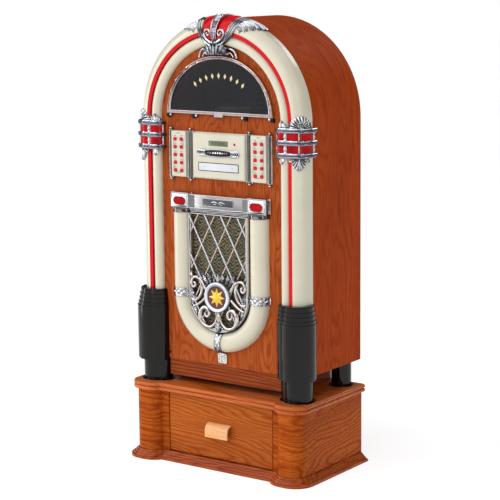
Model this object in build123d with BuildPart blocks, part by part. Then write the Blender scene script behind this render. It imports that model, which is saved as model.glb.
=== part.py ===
from build123d import *
import math
import os

# Retro jukebox on a drawer stand. Millimetres, +Z up, front facing -Y, standing on z = 0.
# The origin is on the floor at the middle of the width and of the depth.

os.makedirs("parts", exist_ok=True)

# ---------------------------------------------------------------- driving dimensions
depth = 346.0  # front of the base moulding's corner bulge to the back of the cabinet
bulge_proud = 72.0  # how far that bulge stands in front of the cabinet's front panel
panel_y = bulge_proud - depth / 2  # front face of the cabinet's front panel

stand_height = 219.0
stand_back_y = panel_y + 262.0
corner_x = 247.0  # outer centre of the rounded corner posts
corner_inner_x = 230.0  # inner centre of the corner posts
corner_y = panel_y - 16.0
corner_radius = 33.0
post_inner_x = 177.0  # half width of the drawer opening
stand_face_y = panel_y - 20.0

cabinet_half_width = 269.0
cabinet_depth = 274.0
cabinet_bottom = 284.0
arch_z = 957.0  # height of the arch's centre
wall = 15.0
inner_half_width = cabinet_half_width - wall
shell_front = 36.0  # the bent side panel starts this far behind the front panel

# section of the arch mouldings, out from the arch's axis and forwards from the panel
outer_lobe_x = 237.0
outer_lobe_back = 18.0
outer_lobe_radius = 33.0
inner_lobe_x = 213.5
inner_lobe_proud = 2.0
inner_lobe_radius = 14.5
strip_inner = 228.2
strip_outer = 238.8

socket_bottom = 278.0
socket_top = 480.0

button_radius = 5.0
running_gap = 0.06

window_base_z = 970.0
hinge_z = 965.0
hinge_proud = 4.0

platter_x = -10.0
platter_y = panel_y + 140.0
arm_x = 150.0
arm_y = panel_y + 205.0
arm_z = 1006.0
deck_top = 972.0

tube_centre_x = 128.0  # centre line of the U-shaped tube round the speaker
tube_radius = 28.0
tube_bend_z = 480.0
tube_top = 703.0


# ---------------------------------------------------------------- helpers
def front_plane(proud):
    """Plane parallel to the front panel, this far in front of it; it extrudes forwards."""
    return Plane.XZ.offset(proud - panel_y)


def radial_plane(centre_z, degrees):
    """Plane through a bend's axis: local x runs outwards from it, local y points forwards."""
    c = math.cos(math.radians(degrees))
    s = math.sin(math.radians(degrees))
    return Plane(origin=(0, panel_y, centre_z), x_dir=(c, 0, s), z_dir=(s, 0, -c))


def block(x0, x1, y0, y1, z0, z1, mode=Mode.ADD):
    """Axis-aligned block between two corners."""
    with Locations(((x0 + x1) / 2, (y0 + y1) / 2, (z0 + z1) / 2)):
        Box(x1 - x0, y1 - y0, z1 - z0, mode=mode)


def proud_block(x0, x1, v0, v1, z0, z1, mode=Mode.ADD):
    """Block placed by how far it stands in front of the front panel."""
    block(x0, x1, panel_y - v1, panel_y - v0, z0, z1, mode)


def area(x0, x1, y0, y1, mode=Mode.ADD):
    """Rectangle between two corners of a sketch."""
    with Locations(((x0 + x1) / 2, (y0 + y1) / 2)):
        Rectangle(x1 - x0, y1 - y0, mode=mode)


def stand_outline(radius, mid_y):
    """Plan of the stand: a box with a rounded post bulging out of each front corner."""
    half_width = corner_x + radius
    area(-half_width, half_width, corner_y, stand_back_y)
    area(-corner_inner_x, corner_inner_x, mid_y, corner_y + 1)
    for side in (-1, 1):
        with Locations((side * (corner_x + corner_inner_x) / 2, corner_y)):
            SlotCenterToCenter(corner_x - corner_inner_x, 2 * radius)
    notch = vertices().filter_by(lambda v: abs(v.Y - mid_y) < 0.01)
    fillet(notch, 7)


def arch_face(half_width, bottom):
    """Round-topped outline of the cabinet, in a plane parallel to the front."""
    area(-half_width, half_width, bottom, arch_z)
    with Locations((0, arch_z)):
        Circle(half_width)


def dome(half_width, height, base):
    """Half ellipse standing on its flat side."""
    with Locations((0, base)):
        Ellipse(half_width, height)
    area(-half_width - 1, half_width + 1, base - height - 1, base, mode=Mode.SUBTRACT)


def twin_lobes(side, outer, inner):
    """Plan of two merged discs, each given as x, how far behind the front panel, and radius."""
    for centre_x, back, radius in (outer, inner):
        with Locations((side * centre_x, panel_y + back)):
            Circle(radius)


def lobes(side, grow):
    """Plan of a double-lobed corner column, grown by this much all round."""
    twin_lobes(
        side,
        (outer_lobe_x, outer_lobe_back, outer_lobe_radius + grow),
        (inner_lobe_x, -inner_lobe_proud, inner_lobe_radius + grow),
    )


def clear_of_cabinet(side):
    """Takes the cabinet's own plan away from a sketch of a corner piece."""
    x_panel = sorted((0, side * inner_half_width))
    x_shell = sorted((0, side * cabinet_half_width))
    area(x_panel[0], x_panel[1], panel_y, panel_y + 100, mode=Mode.SUBTRACT)
    area(x_shell[0], x_shell[1], panel_y + shell_front, panel_y + 100, mode=Mode.SUBTRACT)


def arch_sweep(section, foot_z):
    """Sweeps a section up one column, round the arch and down the other column."""
    for degrees, down in ((0, 1), (180, -1)):
        with BuildSketch(radial_plane(arch_z, degrees)) as profile:
            section()
        extrude(profile.sketch, amount=down * (arch_z - foot_z))
    with BuildSketch(radial_plane(arch_z, 0)) as profile:
        section()
    revolve(profile.sketch, axis=Axis((0, panel_y, arch_z), (0, -1, 0)), revolution_arc=180)


def inner_tube_section():
    """Slim half-round moulding on the inner side of the red strip."""
    with Locations((inner_lobe_x, inner_lobe_proud)):
        Circle(inner_lobe_radius)
    area(inner_lobe_x - inner_lobe_radius, inner_lobe_x + inner_lobe_radius, 0, inner_lobe_proud)
    area(inner_lobe_x - 20, inner_lobe_x + 20, -20, 0, mode=Mode.SUBTRACT)


def outer_tube_section():
    """Quarter-round moulding that wraps the cabinet's front edge."""
    strip_side = strip_outer + 0.2
    reach = outer_lobe_x + outer_lobe_radius
    start = strip_side - outer_lobe_x
    crown = math.sqrt(outer_lobe_radius**2 - start**2) - outer_lobe_back
    middle = outer_lobe_radius * math.sqrt(0.5)
    with BuildLine() as outline:
        Line((strip_side, 0), (strip_side, crown))
        ThreePointArc(
            (strip_side, crown),
            (outer_lobe_x + middle, middle - outer_lobe_back),
            (reach, -outer_lobe_back),
        )
        Polyline(
            (reach, -outer_lobe_back),
            (reach, -shell_front),
            (inner_half_width, -shell_front),
            (inner_half_width, 0),
            (strip_side, 0),
        )
    make_face(outline.edges())


def strip_section():
    """Red strip between the two cream mouldings."""
    area(strip_inner, strip_outer, 0, 14.8)


def u_sweep(section, top_z):
    """Sweeps a section down one side of the speaker, round below it and up again."""
    for degrees, up in ((0, -1), (180, 1)):
        with BuildSketch(radial_plane(tube_bend_z, degrees)) as profile:
            section()
        extrude(profile.sketch, amount=up * (top_z - tube_bend_z))
    with BuildSketch(radial_plane(tube_bend_z, 0)) as profile:
        section()
    revolve(profile.sketch, axis=Axis((0, panel_y, tube_bend_z), (0, 1, 0)), revolution_arc=180)


def half_round(radius):
    """Half disc on the speaker tube's centre line."""
    with Locations((tube_centre_x, 0)):
        Circle(radius)
    area(tube_centre_x - radius, tube_centre_x + radius, -radius, 0, mode=Mode.SUBTRACT)


# ================================================================ stand
side_thickness = 18.0
stand_body_top = 197.0
stand_inner_half = corner_x + corner_radius - side_thickness
post_back_y = panel_y + 16.0
stand_rear_inner_y = stand_back_y - 12.0

with BuildPart() as stand_sides:
    with BuildSketch(Plane.XY):
        stand_outline(corner_radius, stand_face_y)
        area(-post_inner_x, post_inner_x, corner_y - 100, stand_back_y, mode=Mode.SUBTRACT)
        area(-stand_inner_half, stand_inner_half, post_back_y, stand_back_y, mode=Mode.SUBTRACT)
    extrude(amount=stand_body_top)
stand_sides.part.label = "stand_sides"
export_step(stand_sides.part, "parts/stand_sides.step")

# floor board, back board, the two partitions beside the drawer and the two front rails
partition_x = 165.0
rail_height = 22.0
board_gap = 0.2
with BuildPart() as stand_inner_boards:
    block(-stand_inner_half, stand_inner_half, post_back_y, stand_rear_inner_y, 10, 22)
    block(
        -stand_inner_half,
        stand_inner_half,
        stand_rear_inner_y + board_gap,
        stand_back_y,
        10,
        stand_body_top,
    )
    for side in (-1, 1):
        xs = sorted((side * partition_x, side * post_inner_x))
        block(xs[0], xs[1], post_back_y, stand_rear_inner_y, 22 + board_gap, stand_body_top)
    block(-post_inner_x, post_inner_x, stand_face_y, stand_face_y + 18, 0, rail_height)
stand_inner_boards.part.label = "stand_inner_boards"
export_step(stand_inner_boards.part, "parts/stand_inner_boards.step")

# top board with two half-round beads along its edge
bead = 11.0
bead_slices = ((4.0, 1.2, 1.5), (1.2, 0.0, 4.0), (0.0, 1.2, 4.0), (1.2, 4.0, 1.5))
with BuildPart() as stand_top_board:
    with BuildSketch(Plane.XY.offset(stand_body_top)):
        stand_outline(corner_radius + 5, panel_y - 35)
    extrude(amount=stand_height - stand_body_top)
    for bead_low, grow in ((stand_body_top, 12), (stand_height - bead, 12)):
        level = bead_low
        for shrink_low, shrink_high, slice_height in bead_slices:
            slope = math.degrees(math.atan2(shrink_high - shrink_low, slice_height))
            with BuildSketch(Plane.XY.offset(level)):
                stand_outline(corner_radius + grow - shrink_low, panel_y - 30 - grow + shrink_low)
            extrude(amount=slice_height, taper=slope)
            level += slice_height
stand_top_board.part.label = "stand_top_board"
export_step(stand_top_board.part, "parts/stand_top_board.step")

# skirting in four sloping steps round the front and the sides
skirting_steps = ((23, 0, 7), (17, 7, 12.5), (11, 12.5, 17.5), (6, 17.5, rail_height))
with BuildPart() as stand_base_moulding:
    for grow, low, high in skirting_steps:
        with BuildSketch(Plane.XY.offset(low)):
            stand_outline(corner_radius + grow, panel_y - 21 - 1.2 * grow)
        extrude(amount=high - low, taper=22 if low > 0 else 8)
    with BuildSketch(Plane.XY):
        stand_outline(corner_radius, stand_face_y)
        area(-stand_inner_half, stand_inner_half, post_back_y, stand_back_y + 5)
    extrude(amount=rail_height, mode=Mode.SUBTRACT)
stand_base_moulding.part.label = "stand_base_moulding"
export_step(stand_base_moulding.part, "parts/stand_base_moulding.step")

# ---------------------------------------------------------------- drawer
drawer_half_width = 175.0
drawer_low = 24.5
drawer_high = 195.5
drawer_thickness = 18.0
drawer_back_of_front = stand_face_y + drawer_thickness
box_half_width = 152.5
box_back_y = panel_y + 232.0
box_low = 34.0
box_high = 168.0
box_wall = 12.0
slide_low = 88.0
slide_high = 120.0

with BuildPart() as drawer_front:
    block(
        -drawer_half_width,
        drawer_half_width,
        stand_face_y,
        drawer_back_of_front,
        drawer_low,
        drawer_high,
    )
    fillet(drawer_front.edges().group_by(Axis.Y)[0], 2.5)
drawer_front.part.label = "drawer_front"
export_step(drawer_front.part, "parts/drawer_front.step")

with BuildPart() as drawer_box:
    block(-box_half_width, box_half_width, drawer_back_of_front, box_back_y, box_low, box_high)
    block(
        -box_half_width + box_wall,
        box_half_width - box_wall,
        drawer_back_of_front + box_wall,
        box_back_y - box_wall,
        box_low + 8,
        box_high + 1,
        mode=Mode.SUBTRACT,
    )
drawer_box.part.label = "drawer_box"
export_step(drawer_box.part, "parts/drawer_box.step")

# steel channels on the partitions, and the members that run beside them on the drawer
with BuildPart() as drawer_runners:
    for side in (-1, 1):
        xs = sorted((side * (partition_x - 6.0), side * partition_x))
        block(xs[0], xs[1], post_back_y, box_back_y, slide_low, slide_high)
        lips = sorted((side * (partition_x - 6.0), side * (partition_x - 2.0)))
        block(lips[0], lips[1], post_back_y, box_back_y, slide_low + 5, slide_high - 5, Mode.SUBTRACT)
drawer_runners.part.label = "drawer_runners"
export_step(drawer_runners.part, "parts/drawer_runners.step")

with BuildPart() as drawer_slides:
    for side in (-1, 1):
        xs = sorted((side * box_half_width, side * (box_half_width + 6.0)))
        block(xs[0], xs[1], post_back_y - 8, box_back_y, slide_low, slide_high)
        tongue = sorted((side * (box_half_width + 6.0), side * (box_half_width + 9.5)))
        block(tongue[0], tongue[1], post_back_y - 8, box_back_y, slide_low + 9, slide_high - 9)
drawer_slides.part.label = "drawer_slides"
export_step(drawer_slides.part, "parts/drawer_slides.step")

# bent tab: a quarter round that leaves the front and hooks down, open at both ends
handle_half_width = 38.0
handle_proud = 20.0
handle_low = 88.0
handle_bend_z = 106.0
handle_wall = 5.0
with BuildPart() as drawer_handle:
    with BuildSketch(Plane.YZ.offset(-handle_half_width)):
        inner = handle_proud - handle_wall
        with BuildLine():
            CenterArc((stand_face_y, handle_bend_z), handle_proud, 90, 90)
            Polyline(
                (stand_face_y - handle_proud, handle_bend_z),
                (stand_face_y - handle_proud, handle_low),
                (stand_face_y - inner, handle_low),
                (stand_face_y - inner, handle_bend_z),
            )
            CenterArc((stand_face_y, handle_bend_z), inner, 90, 90)
            Line(
                (stand_face_y, handle_bend_z + inner),
                (stand_face_y, handle_bend_z + handle_proud),
            )
        make_face()
    extrude(amount=2 * handle_half_width)
drawer_handle.part.label = "drawer_handle"
export_step(drawer_handle.part, "parts/drawer_handle.step")

# ================================================================ legs and sockets
leg_outer_lobe = (240.0, 12.5, 38.0)  # x, how far behind the front panel, radius
leg_inner_lobe = (216.0, 10.0, 25.0)
rear_foot = (238.0, 224.0, 28.0)
foot_ring = 6.0  # flat ring that each leg stands in
foot_ring_height = 1.2


def grown(disc, grow):
    """The same disc with a larger radius."""
    return (disc[0], disc[1], disc[2] + grow)


with BuildPart() as cabinet_legs:
    for side in (-1, 1):
        for grow, height in ((0, cabinet_bottom - stand_height), (foot_ring, foot_ring_height)):
            with BuildSketch(Plane.XY.offset(stand_height)):
                twin_lobes(side, grown(leg_outer_lobe, grow), grown(leg_inner_lobe, grow))
            extrude(amount=height)
            with BuildSketch(Plane.XY.offset(stand_height)):
                with Locations((side * rear_foot[0], panel_y + rear_foot[1])):
                    Circle(rear_foot[2] + grow)
            extrude(amount=height)
cabinet_legs.part.label = "cabinet_legs"
export_step(cabinet_legs.part, "parts/cabinet_legs.step")

socket_outer_lobe = (242.5, 7.0, 48.0)
socket_inner_lobe = (219.0, -2.0, 32.0)
socket_top_outer_lobe = (240.0, 11.0, 42.5)
socket_top_inner_lobe = (217.0, -2.0, 27.0)
shoulder_z = 432.0
shoulder_steps = 4
shoulder_groove = 3.0
step_height = (socket_top - shoulder_z) / shoulder_steps


def between(low, high, share):
    """The disc this share of the way from one disc to another."""
    return tuple(a + (b - a) * share for a, b in zip(low, high))


def socket_layer(side, share, shrink, low, height):
    """One layer of a socket, this share of the way up its stepped shoulder."""
    with BuildSketch(Plane.XY.offset(low)) as layer:
        for start, end in (
            (socket_outer_lobe, socket_top_outer_lobe),
            (socket_inner_lobe, socket_top_inner_lobe),
        ):
            centre_x, back, radius = between(start, end, share)
            with Locations((side * centre_x, panel_y + back)):
                Circle(radius - shrink)
        x_panel = sorted((0, side * inner_half_width))
        x_shell = sorted((0, side * cabinet_half_width))
        area(x_panel[0], x_panel[1], panel_y, panel_y + 100, mode=Mode.SUBTRACT)
        area(x_shell[0], x_shell[1], panel_y + shell_front, panel_y + 100, mode=Mode.SUBTRACT)
    extrude(layer.sketch, amount=height)


with BuildPart() as leg_sockets:
    for side in (-1, 1):
        socket_layer(side, 0, 3, socket_bottom, 4)
        socket_layer(side, 0, 0, socket_bottom + 4, shoulder_z - socket_bottom - 4)
        for step in range(shoulder_steps):
            share = (step + 1) / shoulder_steps
            low = shoulder_z + step * step_height
            socket_layer(side, share, 0, low, step_height - shoulder_groove)
            socket_layer(side, share, 2.4, low + step_height - shoulder_groove, shoulder_groove)
        with BuildSketch(Plane.XY.offset(socket_bottom)):
            twin_lobes(side, grown(leg_outer_lobe, 0.2), grown(leg_inner_lobe, 0.2))
        extrude(amount=cabinet_bottom - socket_bottom, mode=Mode.SUBTRACT)
leg_sockets.part.label = "leg_sockets"
export_step(leg_sockets.part, "parts/leg_sockets.step")

# ================================================================ cabinet
with BuildPart() as cabinet_shell:
    with BuildSketch(front_plane(-cabinet_depth)):
        arch_face(cabinet_half_width, cabinet_bottom)
        area(-inner_half_width, inner_half_width, cabinet_bottom, arch_z, mode=Mode.SUBTRACT)
        with Locations((0, arch_z)):
            Circle(inner_half_width, mode=Mode.SUBTRACT)
    extrude(amount=cabinet_depth - shell_front)
cabinet_shell.part.label = "cabinet_shell"
export_step(cabinet_shell.part, "parts/cabinet_shell.step")

cutout_half_width = 158.0
cutout_height = 136.0
cutout_base = 979.0
drive_half_width = 75.0
drive_low = 812.0
drive_high = 852.0
woofer_z = 600.0
woofer_radius = 58.0
tweeter_z = 478.0
tweeter_radius = 40.0
with BuildPart() as front_panel:
    with BuildSketch(front_plane(-wall)):
        arch_face(inner_half_width, cabinet_bottom)
    extrude(amount=wall)
    with BuildSketch(front_plane(-wall)):
        dome(cutout_half_width, cutout_height, cutout_base)
    extrude(amount=wall, mode=Mode.SUBTRACT)
    with BuildSketch(front_plane(-wall)):
        area(-drive_half_width - 0.3, drive_half_width + 0.3, drive_low - 0.3, drive_high + 0.3)
        with Locations((0, woofer_z)):
            Circle(woofer_radius)
        with Locations((0, tweeter_z)):
            Circle(tweeter_radius)
    extrude(amount=wall, mode=Mode.SUBTRACT)
front_panel.part.label = "front_panel"
export_step(front_panel.part, "parts/front_panel.step")

# floor board and the two battens that tie the front panel to the sides
rear_panel_front = 262.0
with BuildPart() as cabinet_frame:
    floor_half = inner_half_width - board_gap
    proud_block(-floor_half, floor_half, -rear_panel_front, -wall, cabinet_bottom, 299)
    for side in (-1, 1):
        xs = sorted((side * 237, side * floor_half))
        proud_block(xs[0], xs[1], -60, -wall - board_gap, 299 + board_gap, 950)
cabinet_frame.part.label = "cabinet_frame"
export_step(cabinet_frame.part, "parts/cabinet_frame.step")

plinth_half_width = 188.0
plinth_low = 237.0
plinth_foot = 221.0  # the two side boards reach down to here
with BuildPart() as cabinet_plinth:
    proud_block(-plinth_half_width, plinth_half_width, -250, -4, plinth_low, cabinet_bottom)
    proud_block(-plinth_half_width, plinth_half_width, -250, -40, plinth_foot, plinth_low)
    proud_block(
        -plinth_half_width + 12,
        plinth_half_width - 12,
        -238,
        -16,
        plinth_low + 12,
        cabinet_bottom + 1,
        mode=Mode.SUBTRACT,
    )
    proud_block(
        -plinth_half_width + 12,
        plinth_half_width - 12,
        -251,
        -39,
        plinth_foot - 1,
        plinth_low,
        mode=Mode.SUBTRACT,
    )
cabinet_plinth.part.label = "cabinet_plinth"
export_step(cabinet_plinth.part, "parts/cabinet_plinth.step")

amp_half_width = 100.0
amp_low = 340.0
amp_high = 440.0
rear_panel_back = 271.0
amp_wall = 4.0
with BuildPart() as rear_panel:
    with BuildSketch(front_plane(-rear_panel_back)):
        arch_face(inner_half_width - board_gap, cabinet_bottom)
        area(-amp_half_width - 0.3, amp_half_width + 0.3, amp_low - 0.3, amp_high + 0.3, Mode.SUBTRACT)
        with Locations((0, 700)):
            with GridLocations(0, 16, 1, 8):
                SlotOverall(160, 6, mode=Mode.SUBTRACT)
    extrude(amount=rear_panel_back - rear_panel_front)
rear_panel.part.label = "rear_panel"
export_step(rear_panel.part, "parts/rear_panel.step")

# amplifier chassis with its socket plate, mains inlet recess and row of round sockets
with BuildPart() as amplifier_unit:
    proud_block(-amp_half_width, amp_half_width, -rear_panel_back, -170, amp_low, amp_high)
    proud_block(
        -amp_half_width + amp_wall,
        amp_half_width - amp_wall,
        -250,
        -170 - amp_wall,
        amp_low + amp_wall,
        amp_high - amp_wall,
        mode=Mode.SUBTRACT,
    )
    proud_block(-80, -53, -rear_panel_back, -255, 380, 400, mode=Mode.SUBTRACT)
    with BuildSketch(front_plane(-cabinet_depth + 0.5)):
        with Locations((25, 390)):
            with GridLocations(18, 20, 6, 2):
                Circle(4.5)
    extrude(amount=3)
amplifier_unit.part.label = "amplifier_unit"
export_step(amplifier_unit.part, "parts/amplifier_unit.step")

# ================================================================ arch mouldings
with BuildPart() as arch_tubes:
    arch_sweep(inner_tube_section, socket_top)
    arch_sweep(outer_tube_section, socket_top)
arch_tubes.part.label = "arch_tubes"
export_step(arch_tubes.part, "parts/arch_tubes.step")

with BuildPart() as arch_red_strip:
    arch_sweep(strip_section, socket_top)
arch_red_strip.part.label = "arch_red_strip"
export_step(arch_red_strip.part, "parts/arch_red_strip.step")


def sleeve_plan(side, grow):
    """Sleeve round the front and outside of a column, this thick."""
    lobes(side, grow)
    lobes_cut_x = sorted((side * strip_inner, side * strip_outer))
    area(lobes_cut_x[0], lobes_cut_x[1], panel_y - 15, panel_y + 20)
    with Locations((side * outer_lobe_x, panel_y + outer_lobe_back)):
        Circle(outer_lobe_radius + 0.1, mode=Mode.SUBTRACT)
    with Locations((side * inner_lobe_x, panel_y - inner_lobe_proud)):
        Circle(inner_lobe_radius + 0.1, mode=Mode.SUBTRACT)
    foot = sorted((side * (inner_lobe_x - inner_lobe_radius - 0.1), side * 270.1))
    area(foot[0], foot[1], panel_y - inner_lobe_proud, panel_y + 60, mode=Mode.SUBTRACT)
    strip = sorted((side * (strip_inner - 1), side * (strip_outer + 1)))
    area(strip[0], strip[1], panel_y - 15, panel_y + 20, mode=Mode.SUBTRACT)
    clear_of_cabinet(side)
    area(-300, 300, panel_y + shell_front, panel_y + 100, mode=Mode.SUBTRACT)


ring_heights = (877.0, 910.0, 942.0)
ring_height = 13.0
ring_grow = 15.0  # how far the rings stand off the columns
clamp_low = 842.0
clamp_high = 980.0
with BuildPart() as arch_clamps:
    for side in (-1, 1):
        for ring_z in ring_heights:
            with BuildSketch(Plane.XY.offset(ring_z - ring_height / 2)):
                sleeve_plan(side, ring_grow)
            extrude(amount=ring_height)
        for low, high in ((clamp_low, ring_heights[0]), (ring_heights[2], clamp_high)):
            with BuildSketch(Plane.XY.offset(low)):
                sleeve_plan(side, 5)
            extrude(amount=high - low)
        with BuildSketch(Plane.XY.offset(clamp_low)):
            sleeve_plan(side, 2)
        extrude(amount=clamp_high - clamp_low)
    add(arch_tubes.part, mode=Mode.SUBTRACT)
    add(arch_red_strip.part, mode=Mode.SUBTRACT)
arch_clamps.part.label = "arch_clamps"
export_step(arch_clamps.part, "parts/arch_clamps.step")

# fan-shaped crest over the middle of the arch, with a cap that goes back over the top
crest_front = 33.0
crest_back = 17.0
crest_outline = (
    (-40, 1134), (40, 1134), (60, 1158), (62, 1180), (132, 1196), (128, 1206), (62, 1204),
    (52, 1240), (-52, 1240), (-62, 1204), (-128, 1206), (-132, 1196), (-62, 1180), (-60, 1158),
)
with BuildPart() as crest:
    with BuildSketch(front_plane(crest_back)):
        Polygon(*crest_outline, align=None)
    extrude(amount=crest_front - crest_back)
    proud_block(-50, 50, -38, crest_front, 1228, 1241)
    proud_block(-58, 58, 0, crest_back + 1, 1130, 1144)
crest.part.label = "crest"
export_step(crest.part, "parts/crest.step")

# ================================================================ window door
glass_half_width = 162.0
glass_height = 140.0
glass_base = 979.0
lug_radius = 3.8
pin_radius = 1.8
hinge_xs = (172.0, 85.0)
with BuildPart() as window_frame:
    with BuildSketch(front_plane(0.2)):
        dome(174, 157, window_base_z)
        with BuildSketch(Plane.XY, mode=Mode.SUBTRACT):
            dome(glass_half_width, glass_height, glass_base)
    extrude(amount=8)
    proud_block(-14, 14, 1, 9.5, window_base_z - 5, window_base_z + 6)
    for side in (-1, 1):
        for hinge_x in hinge_xs:
            xs = sorted((side * (hinge_x - 11.5), side * (hinge_x - 5.5)))
            with BuildSketch(Plane.YZ.offset(xs[0])):
                with Locations((panel_y - hinge_proud, hinge_z)):
                    Circle(lug_radius)
                area(panel_y - hinge_proud - 3, panel_y - hinge_proud + 3, hinge_z, window_base_z + 4)
            extrude(amount=6)
            with BuildSketch(Plane.YZ.offset(xs[0])):
                with Locations((panel_y - hinge_proud, hinge_z)):
                    Circle(pin_radius + running_gap)
            extrude(amount=6, mode=Mode.SUBTRACT)
window_frame.part.label = "window_frame"
export_step(window_frame.part, "parts/window_frame.step")

with BuildPart() as window_glass:
    with BuildSketch(front_plane(1.5)):
        dome(glass_half_width - 0.1, glass_height - 0.1, glass_base + 0.1)
    extrude(amount=4)
window_glass.part.label = "window_glass"
export_step(window_glass.part, "parts/window_glass.step")

with BuildPart() as window_hinges:
    for side in (-1, 1):
        for hinge_x in hinge_xs:
            knuckle = sorted((side * (hinge_x - 5), side * (hinge_x + 5)))
            pin = sorted((side * (hinge_x - 12), side * (hinge_x + 5)))
            with BuildSketch(Plane.YZ.offset(knuckle[0])):
                with Locations((panel_y - hinge_proud, hinge_z)):
                    Circle(lug_radius)
                area(panel_y - hinge_proud, panel_y, hinge_z - 7, hinge_z + 3)
            extrude(amount=10)
            with BuildSketch(Plane.YZ.offset(pin[0])):
                with Locations((panel_y - hinge_proud, hinge_z)):
                    Circle(pin_radius)
            extrude(amount=17)
window_hinges.part.label = "window_hinges"
export_step(window_hinges.part, "parts/window_hinges.step")

# ================================================================ turntable
deck_half_width = 250.0
bearing_radius = 4.0
turret_shaft = 5.0
arm_rest_y = panel_y + 66.0
with BuildPart() as turntable_deck:
    proud_block(-deck_half_width, deck_half_width, -rear_panel_front, -wall, arch_z, deck_top)
    with Locations((platter_x, platter_y, (arch_z + deck_top) / 2 - 4)):
        Cylinder(12, deck_top - arch_z + 8)
    block(arm_x - 3, arm_x + 3, arm_rest_y - 4, arm_rest_y + 4, deck_top, arm_z - 3.4)
    with Locations((platter_x, platter_y, arch_z)):
        Cylinder(bearing_radius + running_gap, 80, mode=Mode.SUBTRACT)
    with Locations((arm_x, arm_y, arch_z)):
        Cylinder(turret_shaft + running_gap, 80, mode=Mode.SUBTRACT)
turntable_deck.part.label = "turntable_deck"
export_step(turntable_deck.part, "parts/turntable_deck.step")

platter_radius = 100.0
platter_low = 976.0
platter_top = 989.0
with BuildPart() as platter:
    with Locations((platter_x, platter_y, (platter_low + platter_top) / 2)):
        Cylinder(platter_radius, platter_top - platter_low)
    fillet(platter.edges().filter_by(GeomType.CIRCLE).group_by(Axis.Z)[-1], 2)
    with Locations((platter_x, platter_y, (950 + platter_low) / 2)):
        Cylinder(bearing_radius, platter_low - 950)
    with Locations((platter_x, platter_y, platter_top + 6)):
        Cylinder(3.5, 12)
platter.part.label = "platter"
export_step(platter.part, "parts/platter.step")

turret_top = 990.0
yoke_top = arm_z + 6
yoke_gap = 8.0
gimbal_pin = 2.0
with BuildPart() as tonearm_turret:
    with Locations((arm_x, arm_y, (deck_top + 2 + turret_top) / 2)):
        Cylinder(16, turret_top - deck_top - 2)
    with Locations((arm_x, arm_y, (deck_top + 2 + arch_z) / 2)):
        Cylinder(turret_shaft, deck_top + 2 - arch_z)
    for side in (-1, 1):
        xs = sorted((arm_x + side * yoke_gap, arm_x + side * (yoke_gap + 3)))
        block(xs[0], xs[1], arm_y - 5, arm_y + 5, turret_top - 1, yoke_top)
    with BuildSketch(Plane.YZ.offset(arm_x - 20)):
        with Locations((arm_y, arm_z)):
            Circle(gimbal_pin + running_gap)
    extrude(amount=40, mode=Mode.SUBTRACT)
tonearm_turret.part.label = "tonearm_turret"
export_step(tonearm_turret.part, "parts/tonearm_turret.step")

arm_reach = 180.0
with BuildPart() as tonearm:
    with BuildSketch(Plane.XZ.offset(-arm_y - 38)):
        with Locations((arm_x, arm_z)):
            Circle(3)
    extrude(amount=38 + arm_reach - 20)
    with BuildSketch(Plane.XZ.offset(-arm_y - 36)):
        with Locations((arm_x, arm_z)):
            Circle(10)
    extrude(amount=22)
    with BuildSketch(Plane.YZ.offset(arm_x - yoke_gap - 3)):
        with Locations((arm_y, arm_z)):
            Circle(gimbal_pin)
    extrude(amount=2 * yoke_gap + 6)
    head_y = arm_y - arm_reach
    block(arm_x - 8, arm_x + 8, head_y, head_y + 26, arm_z - 5, arm_z + 3)
    block(arm_x - 4, arm_x + 4, head_y + 2, head_y + 16, arm_z - 9, arm_z - 4)
tonearm.part.label = "tonearm"
export_step(tonearm.part, "parts/tonearm.step")

# ================================================================ control panel
panel_low = 797.0
panel_high = 923.0
block_inner = 108.0
block_outer = 156.8
block_proud = 14.0
fascia_half = 87.0
fascia_proud = 12.0
button_wall = 4.0
button_xs = (122.4, 143.6)
button_zs = [901.0 - 21.3 * row for row in range(5)]
tray_half_width = 65.0
tray_low = 821.0
tray_high = 841.0
lcd = (32.0, 888.0, 902.0)
with BuildPart() as control_panel:
    proud_block(-170, 170, 0, 2, panel_low, panel_high)
    proud_block(-fascia_half, fascia_half, 0, fascia_proud, panel_low + 2, panel_high - 2)
    chamfer(control_panel.edges().group_by(Axis.Y)[0], 3)
    for side in (-1, 1):
        xs = sorted((side * block_inner, side * block_outer))
        proud_block(xs[0], xs[1], 0, block_proud, panel_low + 3, panel_high)
        hollow = sorted((side * (block_inner + 4), side * (block_outer - 4)))
        proud_block(
            hollow[0],
            hollow[1],
            -1,
            block_proud - button_wall,
            panel_low + 8,
            panel_high - 6,
            mode=Mode.SUBTRACT,
        )
        with BuildSketch(front_plane(block_proud - button_wall - 1)):
            for button_x in button_xs:
                for button_z in button_zs:
                    with Locations((side * button_x, button_z)):
                        Circle(button_radius + running_gap)
        extrude(amount=button_wall + 2, mode=Mode.SUBTRACT)
    proud_block(
        -tray_half_width - 0.8,
        tray_half_width + 0.8,
        -1,
        fascia_proud + 1,
        tray_low - 0.8,
        tray_high + 0.8,
        mode=Mode.SUBTRACT,
    )
    proud_block(-lcd[0], lcd[0], fascia_proud - 2, fascia_proud + 1, lcd[1], lcd[2], Mode.SUBTRACT)
control_panel.part.label = "control_panel"
export_step(control_panel.part, "parts/control_panel.step")

header_display = (50.0, 725.5, 744.5)
bar_proud = 17.0
with BuildPart() as display_lenses:
    proud_block(-lcd[0] + 0.1, lcd[0] - 0.1, fascia_proud - 2, fascia_proud, lcd[1] + 0.1, lcd[2] - 0.1)
    proud_block(
        -header_display[0] + 0.1,
        header_display[0] - 0.1,
        bar_proud - 2.5,
        bar_proud - 0.5,
        header_display[1] + 0.1,
        header_display[2] - 0.1,
    )
display_lenses.part.label = "display_lenses"
export_step(display_lenses.part, "parts/display_lenses.step")

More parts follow.
